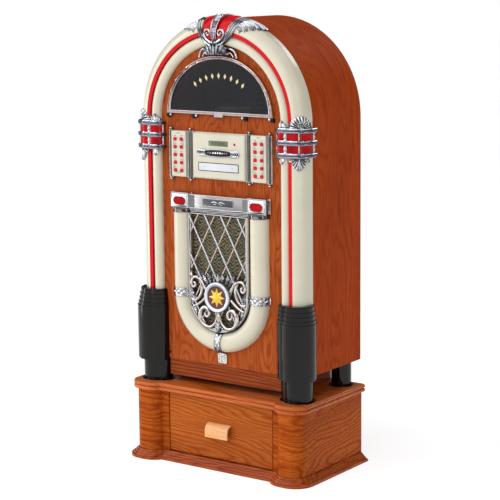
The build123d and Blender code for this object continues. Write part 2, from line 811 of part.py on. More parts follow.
# bars beside the button blocks, name-plate wings, straps over the speaker tube and its tag
rail_spans = ((88.0, 107.6), (157.2, 170.0))
strap_z = 482.0
strap_wall = 3.0
strap_gap = 0.6
strap_lug_x = 163.0
strap_inner_x = tube_centre_x - tube_radius
with BuildPart() as chrome_trims:
    for side in (-1, 1):
        for inner_x, outer_x in rail_spans:
            xs = sorted((side * inner_x, side * outer_x))
            proud_block(xs[0], xs[1], 2, 6, panel_low - 1, panel_high + 2)
            with Locations((sum(xs) / 2, panel_y - 5.5, panel_high + 4)):
                Sphere(4.5)
            with Locations((sum(xs) / 2, panel_y - 5.5, panel_low - 4)):
                Sphere(4.5)
        with BuildSketch(Plane.XY.offset(strap_z - 10)):
            with Locations((side * tube_centre_x, panel_y)):
                Circle(tube_radius + strap_wall)
                Circle(tube_radius + strap_gap, mode=Mode.SUBTRACT)
            lug = sorted((side * (tube_centre_x + tube_radius + strap_gap), side * strap_lug_x))
            area(lug[0], lug[1], panel_y - 5, panel_y)
            area(-200, 200, panel_y, panel_y + 50, mode=Mode.SUBTRACT)
            area(-strap_inner_x, strap_inner_x, panel_y - 50, panel_y, mode=Mode.SUBTRACT)
        extrude(amount=20)
    proud_block(-69, 69, fascia_proud, fascia_proud + 2.5, 857, 881)
    with BuildSketch(radial_plane(tube_bend_z, -94)):
        with Locations((tube_centre_x, 0)):
            Circle(tube_radius + strap_wall)
            Circle(tube_radius + strap_gap, mode=Mode.SUBTRACT)
        area(tube_centre_x - 40, tube_centre_x + 40, -40, 0, mode=Mode.SUBTRACT)
        area(tube_centre_x - 40, strap_inner_x, 0, 40, mode=Mode.SUBTRACT)
    revolve(axis=Axis((0, panel_y, tube_bend_z), (0, -1, 0)), revolution_arc=8)
    proud_block(-15, 15, 0, 6, 292, 320.5)
chrome_trims.part.label = "chrome_trims"
export_step(chrome_trims.part, "parts/chrome_trims.step")

# ---------------------------------------------------------------- disc drive and its tray
drive_wall = 3.0
drive_back = 145.0
disc_radius = 61.0
with BuildPart() as disc_drive:
    proud_block(-drive_half_width, drive_half_width, -drive_back, 0, drive_low, drive_high)
    proud_block(
        -drive_half_width + drive_wall,
        drive_half_width - drive_wall,
        -drive_back + drive_wall,
        1,
        drive_low + drive_wall,
        drive_high - drive_wall,
        mode=Mode.SUBTRACT,
    )
disc_drive.part.label = "disc_drive"
export_step(disc_drive.part, "parts/disc_drive.step")

with BuildPart() as disc_tray:
    proud_block(-tray_half_width, tray_half_width, 8, fascia_proud + 1, tray_low, tray_high)
    fillet(disc_tray.edges().group_by(Axis.Y)[0], 1.2)
    proud_block(-63.5, 63.5, -126, 8, 825, 832)
    with Locations((0, panel_y + 62.0, 832)):
        Cylinder(disc_radius, 4, mode=Mode.SUBTRACT)
disc_tray.part.label = "disc_tray"
export_step(disc_tray.part, "parts/disc_tray.step")

# ---------------------------------------------------------------- push-buttons
collar_front = block_proud - button_wall - 0.1
for side, side_name in ((-1, "left"), (1, "right")):
    number = 0
    for button_z in button_zs:
        for button_x in button_xs:
            number += 1
            name = f"button_{side_name}_{number}"
            with BuildPart() as button:
                with BuildSketch(front_plane(collar_front - 2)):
                    with Locations((side * button_x, button_z)):
                        Circle(button_radius + 1.2)
                extrude(amount=2)
                with BuildSketch(front_plane(collar_front)):
                    with Locations((side * button_x, button_z)):
                        Circle(button_radius)
                extrude(amount=block_proud + 3.6 - collar_front)
                fillet(button.edges().group_by(Axis.Y)[0], 1.4)
                with BuildSketch(front_plane(3)):
                    with Locations((side * button_x, button_z)):
                        Circle(2.5)
                extrude(amount=collar_front - 2 - 3)
            button.part.label = name
            export_step(button.part, f"parts/{name}.step")

# ================================================================ speaker front
header_inner = 99.0
header_outer = 157.5
header_low = 715.0
header_high = 756.0
header_proud = 20.0
lamp_z = 734.0
lamp_size = (40.0, 20.0)
with BuildPart() as speaker_header:
    for side in (-1, 1):
        xs = sorted((side * header_inner, side * header_outer))
        proud_block(xs[0], xs[1], 0, header_proud, header_low, header_high)
        base = sorted((side * (header_inner - 3), side * (header_outer + 5.5)))
        proud_block(base[0], base[1], 0, 4, header_low, header_high)
        with BuildSketch(Plane.XY.offset(tube_top + 0.2)):
            with Locations((side * tube_centre_x, panel_y)):
                Circle(tube_radius + 1.5)
            area(-200, 200, panel_y, panel_y + 50, mode=Mode.SUBTRACT)
        extrude(amount=header_low - tube_top - 0.2)
        with BuildSketch(front_plane(header_proud - 4)):
            with Locations((side * tube_centre_x, lamp_z)):
                SlotOverall(*lamp_size)
        extrude(amount=5, mode=Mode.SUBTRACT)
    proud_block(-header_inner, header_inner, 0, bar_proud, 717, 752)
    for step in range(3):
        low = tube_top + 0.2 + 4.6 * step
        proud_block(-header_inner, header_inner, 0, 9 + 2 * step, low, low + 4.6)
    proud_block(
        -header_display[0],
        header_display[0],
        bar_proud - 2.5,
        bar_proud + 1,
        header_display[1],
        header_display[2],
        mode=Mode.SUBTRACT,
    )
speaker_header.part.label = "speaker_header"
export_step(speaker_header.part, "parts/speaker_header.step")

# red lenses: two pill-shaped lamps in the header and two bands in each arch clamp
band_grow = 10.0
with BuildPart() as red_lenses:
    for side in (-1, 1):
        with BuildSketch(front_plane(header_proud - 4)):
            with Locations((side * tube_centre_x, lamp_z)):
                SlotOverall(lamp_size[0] - 0.4, lamp_size[1] - 0.4)
        extrude(amount=7)
        for low_ring, high_ring in zip(ring_heights[:-1], ring_heights[1:]):
            low = low_ring + ring_height / 2 + 0.1
            high = high_ring - ring_height / 2 - 0.1
            with BuildSketch(Plane.XY.offset(low)):
                sleeve_plan(side, band_grow)
                with Locations((side * outer_lobe_x, panel_y + outer_lobe_back)):
                    Circle(outer_lobe_radius + 2.2, mode=Mode.SUBTRACT)
                with Locations((side * inner_lobe_x, panel_y - inner_lobe_proud)):
                    Circle(inner_lobe_radius + 2.2, mode=Mode.SUBTRACT)
            extrude(amount=high - low)
red_lenses.part.label = "red_lenses"
export_step(red_lenses.part, "parts/red_lenses.step")


def tube_section():
    """Half-round section of the cream speaker tube."""
    half_round(tube_radius)


with BuildPart() as speaker_tube:
    u_sweep(tube_section, tube_top)
speaker_tube.part.label = "speaker_tube"
export_step(speaker_tube.part, "parts/speaker_tube.step")

frame_inner = 92.0
frame_outer = tube_centre_x - tube_radius - 0.2
frame_proud = 22.0
rod_radius = 2.2
rod_proud = 17.0
rod_pitch = 54.6
rod_rise = 51.0  # height between one row of crossings and the next
first_row = 671.0
crossing_rows = 7
rod_angle = math.degrees(math.atan2(rod_rise, rod_pitch / 2))


def frame_section():
    """Thin upright edge round the inside of the speaker tube."""
    area(frame_inner, frame_outer, 0, frame_proud)


def speaker_area(half_width):
    """Outline of the speaker opening: straight sides and a half-round bottom."""
    area(-half_width, half_width, tube_bend_z, tube_top - 0.2)
    with Locations((0, tube_bend_z)):
        Circle(half_width)


with BuildPart() as speaker_grille:
    with BuildSketch(front_plane(rod_proud - rod_radius)):
        for lean in (-1, 1):
            for start in range(-4, 5):
                with Locations((start * rod_pitch + rod_pitch / 2, first_row)):
                    Rectangle(900, 2 * rod_radius, rotation=lean * rod_angle)
        with BuildSketch(Plane.XY, mode=Mode.INTERSECT):
            speaker_area(frame_inner + 3)
    extrude(amount=2 * rod_radius)
    u_sweep(frame_section, tube_top)
    proud_block(-frame_outer, frame_outer, 0, frame_proud, tube_top - 6, tube_top)
speaker_grille.part.label = "speaker_grille"
export_step(speaker_grille.part, "parts/speaker_grille.step")

with BuildPart() as speaker_medallion:
    with BuildSketch(front_plane(rod_proud + rod_radius + 0.1)):
        with Locations((0, tube_bend_z - 1)):
            Circle(42)
    extrude(amount=11)
    with BuildSketch(front_plane(27)):
        with Locations((0, tube_bend_z - 1)):
            Circle(31)
    extrude(amount=10, mode=Mode.SUBTRACT)
speaker_medallion.part.label = "speaker_medallion"
export_step(speaker_medallion.part, "parts/speaker_medallion.step")

with BuildPart() as speaker_board:
    with BuildSketch(front_plane(0.2)):
        speaker_area(frame_inner - 0.2)
        area(-100, 100, tube_top - 6.2, tube_top + 10, mode=Mode.SUBTRACT)
    extrude(amount=5)
speaker_board.part.label = "speaker_board"
export_step(speaker_board.part, "parts/speaker_board.step")

# loudspeakers behind the front panel: rim, cone-shaped basket and magnet
with BuildPart() as speaker_drivers:
    for driver_z, radius in ((woofer_z, woofer_radius), (tweeter_z, tweeter_radius)):
        with BuildSketch(front_plane(-wall - 4)):
            with Locations((0, driver_z)):
                Circle(radius + 6)
        extrude(amount=4)
        with BuildSketch(front_plane(-wall - 4)):
            with Locations((0, driver_z)):
                Circle(radius - 3)
        extrude(amount=-26, taper=30)
        with BuildSketch(front_plane(-wall - 30)):
            with Locations((0, driver_z)):
                Circle(radius * 0.55)
        extrude(amount=-18)
speaker_drivers.part.label = "speaker_drivers"
export_step(speaker_drivers.part, "parts/speaker_drivers.step")
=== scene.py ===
import math

import bmesh
import bpy
from mathutils import Matrix, Vector


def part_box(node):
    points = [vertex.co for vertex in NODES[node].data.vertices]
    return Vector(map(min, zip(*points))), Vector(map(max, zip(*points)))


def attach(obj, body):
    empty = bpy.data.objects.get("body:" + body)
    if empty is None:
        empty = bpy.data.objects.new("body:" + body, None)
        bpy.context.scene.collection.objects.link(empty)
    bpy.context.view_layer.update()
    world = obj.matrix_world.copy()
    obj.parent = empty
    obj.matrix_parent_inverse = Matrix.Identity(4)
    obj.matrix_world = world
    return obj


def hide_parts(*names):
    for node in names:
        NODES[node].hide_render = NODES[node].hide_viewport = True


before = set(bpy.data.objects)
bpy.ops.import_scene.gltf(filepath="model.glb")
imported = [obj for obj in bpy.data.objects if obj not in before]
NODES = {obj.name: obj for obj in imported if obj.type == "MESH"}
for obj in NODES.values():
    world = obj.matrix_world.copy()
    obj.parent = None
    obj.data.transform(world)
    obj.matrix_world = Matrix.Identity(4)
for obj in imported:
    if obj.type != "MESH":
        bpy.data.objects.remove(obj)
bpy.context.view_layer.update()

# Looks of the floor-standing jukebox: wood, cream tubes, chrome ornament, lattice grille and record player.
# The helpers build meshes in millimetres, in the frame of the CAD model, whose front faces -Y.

TAU = 2 * math.pi
MM = 0.001


# ---------------------------------------------------------------- materials
class Finish:
    """A Principled material, with short ways to add the nodes that feed it."""

    def __init__(self, name, **values):
        self.material = bpy.data.materials.new(name)
        self.material.use_nodes = True
        self.tree = self.material.node_tree
        self.shader = self.tree.nodes["Principled BSDF"]
        self.set(**values)

    def set(self, **values):
        for key, value in values.items():
            self.put(value, self.shader.inputs[key.replace("_", " ")])

    def put(self, value, socket):
        if isinstance(value, bpy.types.NodeSocket):
            self.tree.links.new(value, socket)
        elif hasattr(value, "__len__") and len(value) == 3 and socket.type == "RGBA":
            socket.default_value = (*value, 1)
        else:
            socket.default_value = value

    def node(self, kind, inputs=(), **props):
        made = self.tree.nodes.new("ShaderNode" + kind)
        for key, value in props.items():
            setattr(made, key, value)
        for key, value in dict(inputs).items():
            self.put(value, made.inputs[key])
        return made

    def math(self, operation, *values):
        return self.node("Math", enumerate(values), operation=operation).outputs[0]

    def place(self):
        """The point in metres, which moves with the body."""
        return self.node("TexCoord").outputs["Object"]

    def split(self, vector):
        return self.node("SeparateXYZ", {0: vector}).outputs

    def join(self, x, y, z):
        return self.node("CombineXYZ", {0: x, 1: y, 2: z}).outputs[0]

    def stretch(self, vector, scale):
        return self.node("Mapping", {"Vector": vector, "Scale": scale}).outputs[0]

    def noise(self, vector, scale, detail=3, roughness=0.55):
        wanted = {"Vector": vector, "Scale": scale, "Detail": detail, "Roughness": roughness}
        return self.node("TexNoise", wanted).outputs["Fac"]

    def ramp(self, factor, *stops):
        """stops are (position, colour) or (position, grey level)."""
        made = self.node("ValToRGB", {"Fac": factor})
        elements = made.color_ramp.elements
        while len(elements) < len(stops):
            elements.new(0.5)
        for element, (position, colour) in zip(elements, stops):
            element.position = position
            element.color = (*colour, 1) if hasattr(colour, "__len__") else (colour, colour, colour, 1)
        return made.outputs["Color"]

    def mix(self, factor, a, b, blend="MIX"):
        made = self.node("Mix", data_type="RGBA", blend_type=blend)
        self.put(factor, made.inputs["Factor"])
        colours = [s for s in made.inputs if s.type == "RGBA"]
        self.put(a, colours[0])
        self.put(b, colours[1])
        return next(s for s in made.outputs if s.type == "RGBA")

    def range(self, value, low, high, start=0, end=1):
        wanted = {"Value": value, "From Min": start, "From Max": end, "To Min": low, "To Max": high}
        return self.node("MapRange", wanted).outputs[0]

    def bump(self, height, strength, distance, under=None):
        made = self.node("Bump", {"Height": height, "Strength": strength, "Distance": distance})
        if under is not None:
            self.put(under, made.inputs["Normal"])
        return made.outputs[0]


def srgb(*levels):
    """Linear colour from 0-255 screen levels."""
    return tuple(((c / 255 + 0.055) / 1.055) ** 2.4 if c > 10 else c / 255 / 12.92 for c in levels)


def wood(
    name, dark, mid, light, rings, figure, gloss, shine=0.16, grain="Z", planks=0.0, bend=None, wrap=False,
):
    """Varnished veneer: growth rings cut by the surface, fine fibres, pores and slow changes of tone.

    planks is the width of the jointed boards, bend is the radius and the axis height of a bent sheet, and
    wrap lays the grain level round upright faces.
    """
    f = Finish(name)
    x, y, z = f.split(f.place())
    if grain == "X":
        across, deep, along = z, y, x
    else:
        across, deep, along = x, y, z
    if bend:
        # the sheet is bent over the arch, so the grain turns with it
        radius, centre = bend
        above = f.math("MAXIMUM", f.math("SUBTRACT", z, centre), 0.0)
        turn = f.math("ARCTAN2", above, f.math("ABSOLUTE", x))
        along = f.math("ADD", f.math("MINIMUM", z, centre), f.math("MULTIPLY", turn, radius))
        across, deep = y, 0.0
    seam = None
    if planks:
        cell = f.math("DIVIDE", across, planks)
        index = f.math("FLOOR", cell)
        pick = f.node("TexWhiteNoise", {"W": index}, noise_dimensions="1D").outputs["Color"]
        shift, sink, slide = f.node("SeparateColor", {0: pick}).outputs
        inside = f.math("SUBTRACT", f.math("FRACT", cell), 0.5)
        across = f.math("MULTIPLY", inside, planks)
        across = f.math("ADD", across, f.range(shift, -0.3 * planks, 0.3 * planks))
        deep = f.math("ADD", deep, f.range(sink, 0, 0.5))
        along = f.math("ADD", along, f.range(slide, 0, 3))
        edge = f.math("ABSOLUTE", inside)
        seam = f.range(edge, 1, 0.62, 0.482, 0.5)
    if wrap:
        # grain runs level round every upright face
        along = f.math("ADD", f.math("MULTIPLY", x, 0.8), f.math("MULTIPLY", y, 0.6))
        across, deep = z, f.math("MULTIPLY", y, 0.25)
    base = f.join(across, deep, along)
    slow = f.stretch(base, (1, 1, 0.16))
    warp = f.noise(slow, 9, 2, 0.5)
    ripple = f.noise(slow, 24, 3)
    # distance from a wandering heart line makes the pointed arches of flat-cut wood
    heart = f.range(warp, -0.16, 0.16)
    rise = f.math("MULTIPLY", along, 0.055)
    far = f.math("ADD", f.math("ADD", heart, rise), 0.05)
    ring = f.math("SQRT", f.math("ADD", f.math("POWER", across, 2.0), f.math("POWER", far, 2.0)))
    ring = f.math("ADD", f.math("MULTIPLY", ring, rings * 10), f.math("MULTIPLY", ripple, 1.6))
    band = f.math("FRACT", ring)
    band = f.ramp(band, (0.0, 0.12), (0.22, 0.75), (0.72, 1.0), (0.93, 0.35), (1.0, 0.12))
    fibre = f.noise(f.stretch(base, (1, 1, 0.022)), 420, 3, 0.6)
    pores = f.noise(f.stretch(base, (1, 1, 0.035)), 900, 2, 0.5)
    pore = f.ramp(pores, (0.36, 0.0), (0.47, 1.0))
    tone = f.noise(slow, 5, 2, 0.5)
    value = f.math("MULTIPLY", f.range(band, 1 - figure, 1.0), f.range(fibre, 0.72, 1.16, 0.25, 0.75))
    colour = f.ramp(value, (0.25, dark), (0.68, mid), (1.0, light))
    colour = f.mix(f.range(tone, 0.0, 0.42, 0.35, 0.7), colour, dark, "MULTIPLY")
    colour = f.mix(f.math("MULTIPLY", f.math("SUBTRACT", 1.0, pore), 0.4), colour, dark)
    if seam is not None:
        shade = f.node("CombineColor", {0: seam, 1: seam, 2: seam}).outputs[0]
        colour = f.mix(1.0, colour, shade, "MULTIPLY")
    normal = f.bump(pore, 0.10, 0.0004)
    normal = f.bump(fibre, 0.06, 0.0004, normal)
    rough = f.range(fibre, gloss + 0.05, gloss + 0.2)
    f.set(Base_Color=colour, Roughness=rough, Normal=normal, Specular_IOR_Level=shine)
    return f.material


def metal(name, colour, roughness, grain=0.0, tint=None):
    """Plated or polished metal, with faint waviness, handling marks, painted shade in the low spots and a
    painted dark reflection on the undersides.
    """
    f = Finish(name, Metallic=1.0)
    p = f.place()
    cloud = f.noise(p, 90, 3)
    spots = f.noise(p, 700, 2)
    shade = f.mix(f.range(cloud, 0.0, 0.35, 0.4, 0.75), colour, tint or tuple(c * 0.72 for c in colour))
    # painted shade: ambient occlusion darkens the colour in the hollows
    hollow = f.node("AmbientOcclusion", {"Distance": 0.005}, samples=6).outputs["AO"]
    shade = f.mix(f.range(hollow, 0.85, 0.0, 0.2, 0.85), shade, tuple(c * 0.10 for c in colour))
    # painted dark reflection: faces turned downwards are darkened towards blue-black
    under = f.split(f.node("NewGeometry").outputs["Normal"])[2]
    underside_painted_reflection = tuple(c * share for c, share in zip(colour, (0.05, 0.06, 0.09)))
    shade = f.mix(f.range(under, 0.0, 0.86, 0.0, -0.55), shade, underside_painted_reflection)
    marks = f.range(spots, 0, 0.05, 0.55, 0.8)
    rough = f.math("ADD", f.range(cloud, roughness * 0.7, roughness * 1.5), marks)
    height = f.noise(p, 220, 2)
    if grain:
        brushed = f.noise(f.stretch(p, (6, 6, 700)), 1, 3)
        rough = f.math("ADD", rough, f.range(brushed, 0, grain))
        shade = f.mix(f.range(brushed, 0.0, 0.5, 0.35, 0.7), shade, tuple(c * 0.6 for c in colour))
        height = brushed
    f.set(Base_Color=shade, Roughness=rough, Normal=f.bump(height, 0.05, 0.0006))
    return f.material


def hammered(name, colour):
    """Cast metal with small round dents."""
    f = Finish(name, Metallic=1.0)
    p = f.place()
    dents = f.node("TexVoronoi", {"Vector": p, "Scale": 330}, feature="SMOOTH_F1").outputs["Distance"]
    f.set(Roughness=f.range(f.noise(p, 120, 2), 0.16, 0.34), Normal=f.bump(dents, 0.7, 0.001))
    f.set(Base_Color=f.mix(f.range(dents, 0, 0.5, 0.1, 0.6), colour, tuple(c * 0.5 for c in colour)))
    return f.material


def plastic(name, colour, roughness, coat, variation=0.10, texture=0.02, shine=0.4):
    """Moulded plastic: slight tone drift, fine orange peel, tiny scuffs."""
    f = Finish(name)
    p = f.place()
    drift = f.noise(p, 14, 3)
    peel = f.noise(p, 480, 2)
    scuff = f.ramp(f.noise(f.stretch(p, (1, 1, 0.4)), 260, 4, 0.7), (0.62, 0.0), (0.72, 1.0))
    deeper = tuple(c * (1 - 2.5 * variation) for c in colour)
    shade = f.mix(f.range(drift, 0, 1, 0.35, 0.7), colour, deeper)
    rough = f.math("ADD", f.range(drift, roughness * 0.85, roughness * 1.25), f.range(scuff, 0, 0.10))
    f.set(Base_Color=shade, Roughness=rough, Normal=f.bump(peel, texture, 0.0005))
    f.set(Coat_Weight=coat, Coat_Roughness=roughness * 0.35, Specular_IOR_Level=shine)
    return f.material


def lens(name, colour, deep, painted_glow=0.0):
    """Coloured translucent plastic with a moulded rib inside, and an optional faint emission that is painted
    glow, not a lamp.
    """
    f = Finish(name, Roughness=0.10, Specular_IOR_Level=0.16)
    p = f.place()
    ribs = f.node("TexWave", {"Vector": p, "Scale": 55, "Distortion": 0.4, "Detail": 1}, bands_direction="Z")
    cloud = f.noise(p, 45, 3)
    shade = f.mix(f.range(cloud, 0.1, 0.75, 0.35, 0.7), colour, deep)
    shade = f.mix(f.range(ribs.outputs["Fac"], 0, 0.25), shade, deep)
    f.set(Base_Color=shade, Normal=f.bump(cloud, 0.05, 0.001), Subsurface_Weight=0.25)
    f.set(Subsurface_Radius=(0.01, 0.001, 0.001), Subsurface_Scale=0.6)
    # the emission is painted glow that stands in for bright highlights; the lens is no lamp
    if painted_glow:
        f.set(Emission_Color=colour, Emission_Strength=painted_glow)
    return f.material


def smoked_glass(name, tint):
    """Dark glass that shows a little of what is behind it, with faint smears."""
    f = Finish(name, Alpha=0.5)
    p = f.place()
    smear = f.noise(f.stretch(p, (1, 1, 2.2)), 16, 4, 0.6)
    f.set(Base_Color=f.mix(f.range(smear, 0, 0.5, 0.4, 0.8), tint, tuple(c * 2.2 for c in tint)))
    f.set(Roughness=f.range(smear, 0.02, 0.09, 0.45, 0.85), Normal=f.bump(f.noise(p, 5, 2), 0.05, 0.002))
    return f.material


def cloth(name):
    """Woven speaker cloth: slubby vertical ribs with a herringbone of short stitches."""
    f = Finish(name)
    p = f.place()
    x, _, z = f.split(p)
    wander = f.noise(f.stretch(p, (1, 1, 0.7)), 38, 3)
    u = f.math("ADD", x, f.range(wander, -0.016, 0.016))
    rib = f.math("SINE", f.math("MULTIPLY", u, TAU / 0.030))
    lean = f.math("MULTIPLY", f.math("ABSOLUTE", rib), 5.6)
    stitch = f.math("SINE", f.math("ADD", f.math("MULTIPLY", z, TAU / 0.0098), lean))
    thread = f.math("SINE", f.math("MULTIPLY", u, TAU / 0.0011))
    height = f.math("ADD", f.math("MULTIPLY", stitch, 0.95), f.math("MULTIPLY", thread, 0.3))
    level = f.range(height, 0, 1, -1.3, 1.3)
    colour = f.ramp(level, (0.12, srgb(22, 15, 4)), (0.5, srgb(66, 57, 32)), (0.88, srgb(166, 154, 112)))
    colour = f.mix(f.range(f.noise(p, 30), 0, 0.6, 0.35, 0.75), colour, srgb(38, 30, 10), "MULTIPLY")
    f.set(Base_Color=colour, Roughness=0.85, Sheen_Weight=0.3, Normal=f.bump(height, 0.6, 0.0008))
    return f.material


PANEL_WOOD = wood(
    "panel_wood", srgb(104, 33, 7), srgb(159, 68, 24), srgb(184, 92, 41),
    planks=0.088, rings=13, figure=0.42, gloss=0.32, shine=0.06,
)
SIDE_WOOD = wood(
    "cabinet_wood", srgb(116, 34, 6), srgb(160, 57, 16), srgb(184, 78, 28),
    rings=7, figure=0.3, gloss=0.42, shine=0.03, bend=(0.269, 0.957),
)
PLINTH_WOOD = wood(
    "plinth_wood", srgb(98, 34, 11), srgb(150, 66, 28), srgb(186, 98, 50),
    grain="X", rings=9, figure=0.5, gloss=0.3, shine=0.06,
)
STAND_WOOD = wood(
    "stand_wood", srgb(112, 34, 2), srgb(163, 68, 9), srgb(202, 104, 34),
    rings=7, figure=0.4, gloss=0.16, shine=0.04, wrap=True,
)
TOP_WOOD = wood(
    "top_wood", srgb(140, 52, 10), srgb(188, 88, 30), srgb(216, 122, 58),
    grain="X", rings=9, figure=0.36, gloss=0.14, shine=0.2,
)
MOULDING_WOOD = wood(
    "moulding_wood", srgb(112, 34, 4), srgb(156, 62, 12), srgb(194, 96, 36),
    rings=8, figure=0.3, gloss=0.12, shine=0.2, wrap=True,
)
DRAWER_WOOD = wood(
    "drawer_front_wood", srgb(122, 48, 10), srgb(174, 82, 22), srgb(204, 114, 46),
    grain="X", rings=12, figure=0.42, gloss=0.28, shine=0.07,
)
INNER_WOOD = wood(
    "inner_wood", srgb(120, 84, 50), srgb(186, 146, 100), srgb(214, 180, 134),
    grain="X", rings=8, figure=0.3, gloss=0.5,
)
MAPLE = wood(
    "maple", srgb(196, 122, 62), srgb(234, 172, 108), srgb(248, 200, 146),
    grain="X", rings=12, figure=0.26, gloss=0.25, shine=0.4,
)
BACK_BOARD = wood(
    "back_board", srgb(88, 52, 30), srgb(126, 82, 52), srgb(148, 102, 70),
    rings=3, figure=0.12, gloss=0.5,
)
CREAM = plastic("cream_plastic", srgb(211, 205, 184), 0.2, coat=0.35, variation=0.02)
PANEL_CREAM = plastic("panel_cream", srgb(208, 203, 186), 0.32, coat=0.1, variation=0.03)
RED = plastic("red_plastic", srgb(206, 10, 18), 0.2, coat=0.1, variation=0.06, shine=0.3)
RED_STRIP = plastic("red_strip", srgb(200, 4, 14), 0.16, coat=0.0, variation=0.02, shine=0.25)
# the last value of each lens is its painted glow: these lenses are no lamps
RED_LENS = lens("red_lens", srgb(198, 0, 14), srgb(96, 0, 6), 0.06)
CREST_LENS = lens("crest_lens", srgb(222, 16, 26), srgb(128, 2, 10), 0.16)
RED_LAMP = plastic("red_lamp", srgb(212, 14, 30), 0.2, coat=0.0, variation=0.04, shine=0.25)
BLACK_PLASTIC = plastic("black_plastic", srgb(10, 6, 4), 0.08, coat=0.0, texture=0.01, shine=0.3)
BLACK_BOARD = plastic(
    "black_board", srgb(14, 13, 14), 0.5, coat=0.0, variation=0.15, texture=0.1, shine=0.2,
)
BLACK_METAL = metal("black_metal", srgb(48, 47, 48), 0.42)
CHROME = metal("chrome", srgb(204, 205, 208), 0.06, tint=srgb(150, 144, 140))
BRUSHED = metal("brushed_chrome", srgb(160, 158, 158), 0.16, grain=0.16)
STEEL = metal("slide_steel", srgb(176, 180, 184), 0.3, grain=0.1)
ARM_METAL = metal("arm_metal", srgb(206, 208, 212), 0.16)
COPPER = metal("copper_rod", srgb(214, 192, 178), 0.26, tint=srgb(140, 108, 92))
PLATTER_METAL = metal("platter_metal", srgb(150, 152, 156), 0.28)
SILVER = plastic("silver_plastic", srgb(214, 216, 222), 0.22, coat=0.3, variation=0.04)
PEWTER = metal("medallion_silver", srgb(218, 224, 232), 0.42, tint=srgb(196, 202, 212))
MAROON = plastic("maroon_enamel", srgb(86, 12, 18), 0.2, coat=0.6, variation=0.12)
GARNET = lens("garnet", srgb(92, 2, 10), srgb(40, 0, 4))
LCD = plastic("lcd", srgb(104, 112, 78), 0.3, coat=0.4, variation=0.14)
DISPLAY = plastic("display_grey", srgb(56, 60, 62), 0.25, coat=0.4, variation=0.12)
GLASS = smoked_glass("dark_glass", srgb(18, 20, 27))
CLOTH = cloth("speaker_cloth")
LABEL = plastic("label_grey", srgb(112, 106, 92), 0.5, coat=0.1)
VINYL = plastic("vinyl", srgb(12, 12, 13), 0.3, coat=0.1)
DARK_CHROME = metal("dark_chrome", srgb(122, 116, 112), 0.1, tint=srgb(70, 62, 58))
SATIN = metal("satin_chrome", srgb(214, 216, 222), 0.2, tint=srgb(190, 190, 196))
ROSE_CHROME = metal("rose_chrome", srgb(196, 172, 166), 0.1, tint=srgb(128, 98, 92))
HAMMERED = hammered("hammered_silver", srgb(226, 224, 220))
STAR_GOLD = plastic("star_gold", srgb(246, 204, 52), 0.25, coat=0.3, variation=0.06)
PALE_GOLD = plastic("pale_gold", srgb(222, 204, 150), 0.4, coat=0.1, variation=0.06)
LCD_MARK = plastic("lcd_mark", srgb(74, 82, 56), 0.4, coat=0.2)
BRONZED = metal("bronzed_chrome", srgb(218, 208, 202), 0.1, tint=srgb(132, 104, 92))
BAND_CHROME = metal("band_chrome", srgb(196, 198, 204), 0.05, tint=srgb(116, 114, 118))
# lighter chrome for the clamp rings' lips is a painted highlight, and dark blue-grey chrome for their middle
# bands is a painted dark reflection
LIP_PAINTED_HIGHLIGHT = metal("lip_painted_highlight", srgb(226, 228, 232), 0.08, tint=srgb(176, 174, 178))
RING_PAINTED_DARK_REFLECTION = metal("ring_painted_dark_reflection", srgb(96, 102, 120), 0.08, tint=srgb(10, 10, 16))


# ---------------------------------------------------------------- CAD nodes
SLOT_FINISH = {
    "stand_wood": STAND_WOOD, "drawer_front_wood": DRAWER_WOOD, "drawer_wood": INNER_WOOD, "maple": MAPLE,
    "cabinet_wood": SIDE_WOOD, "panel_wood": PANEL_WOOD, "inner_wood": INNER_WOOD, "back_board": BACK_BOARD,
    "black_board": BLACK_BOARD, "black_plastic": BLACK_PLASTIC, "cream_plastic": CREAM, "red_plastic": RED,
    "silver_plastic": SILVER, "display_plastic": LCD, "slide_steel": STEEL, "black_metal": BLACK_METAL,
    "chrome": CHROME, "platter_metal": PLATTER_METAL, "arm_metal": ARM_METAL, "dark_glass": GLASS,
    "speaker_cloth": CLOTH,
}
# nodes that look different from the rest of their slot
NODE_FINISH = {
    "stand_top_board": TOP_WOOD, "stand_base_moulding": MOULDING_WOOD, "cabinet_plinth": PLINTH_WOOD,
    "arch_red_strip": RED_STRIP, "red_lenses": RED_LENS, "control_panel": PANEL_CREAM,
}
for node_name, node in NODES.items():
    old = node.data.materials[0].name if node.data.materials else ""
    finish = NODE_FINISH.get(node_name) or SLOT_FINISH.get(old.split(".")[0], BLACK_PLASTIC)
    node.data.materials.clear()
    node.data.materials.append(finish)


# edges that are softly rounded, and by how much, in millimetres
SOFT_EDGES = {
    "drawer_front": 1.2, "cabinet_plinth": 1.2, "control_panel": 0.8, "disc_tray": 0.6, "window_frame": 0.8,
    "drawer_handle": 1.0,
}
for node_name, size in SOFT_EDGES.items():
    NODES[node_name].modifiers.new("join", "WELD").merge_threshold = 0.02 * MM
    edge = NODES[node_name].modifiers.new("edges", "BEVEL")
    edge.width, edge.segments = size * MM, 3
    edge.limit_method, edge.angle_limit = "ANGLE", math.radians(50)


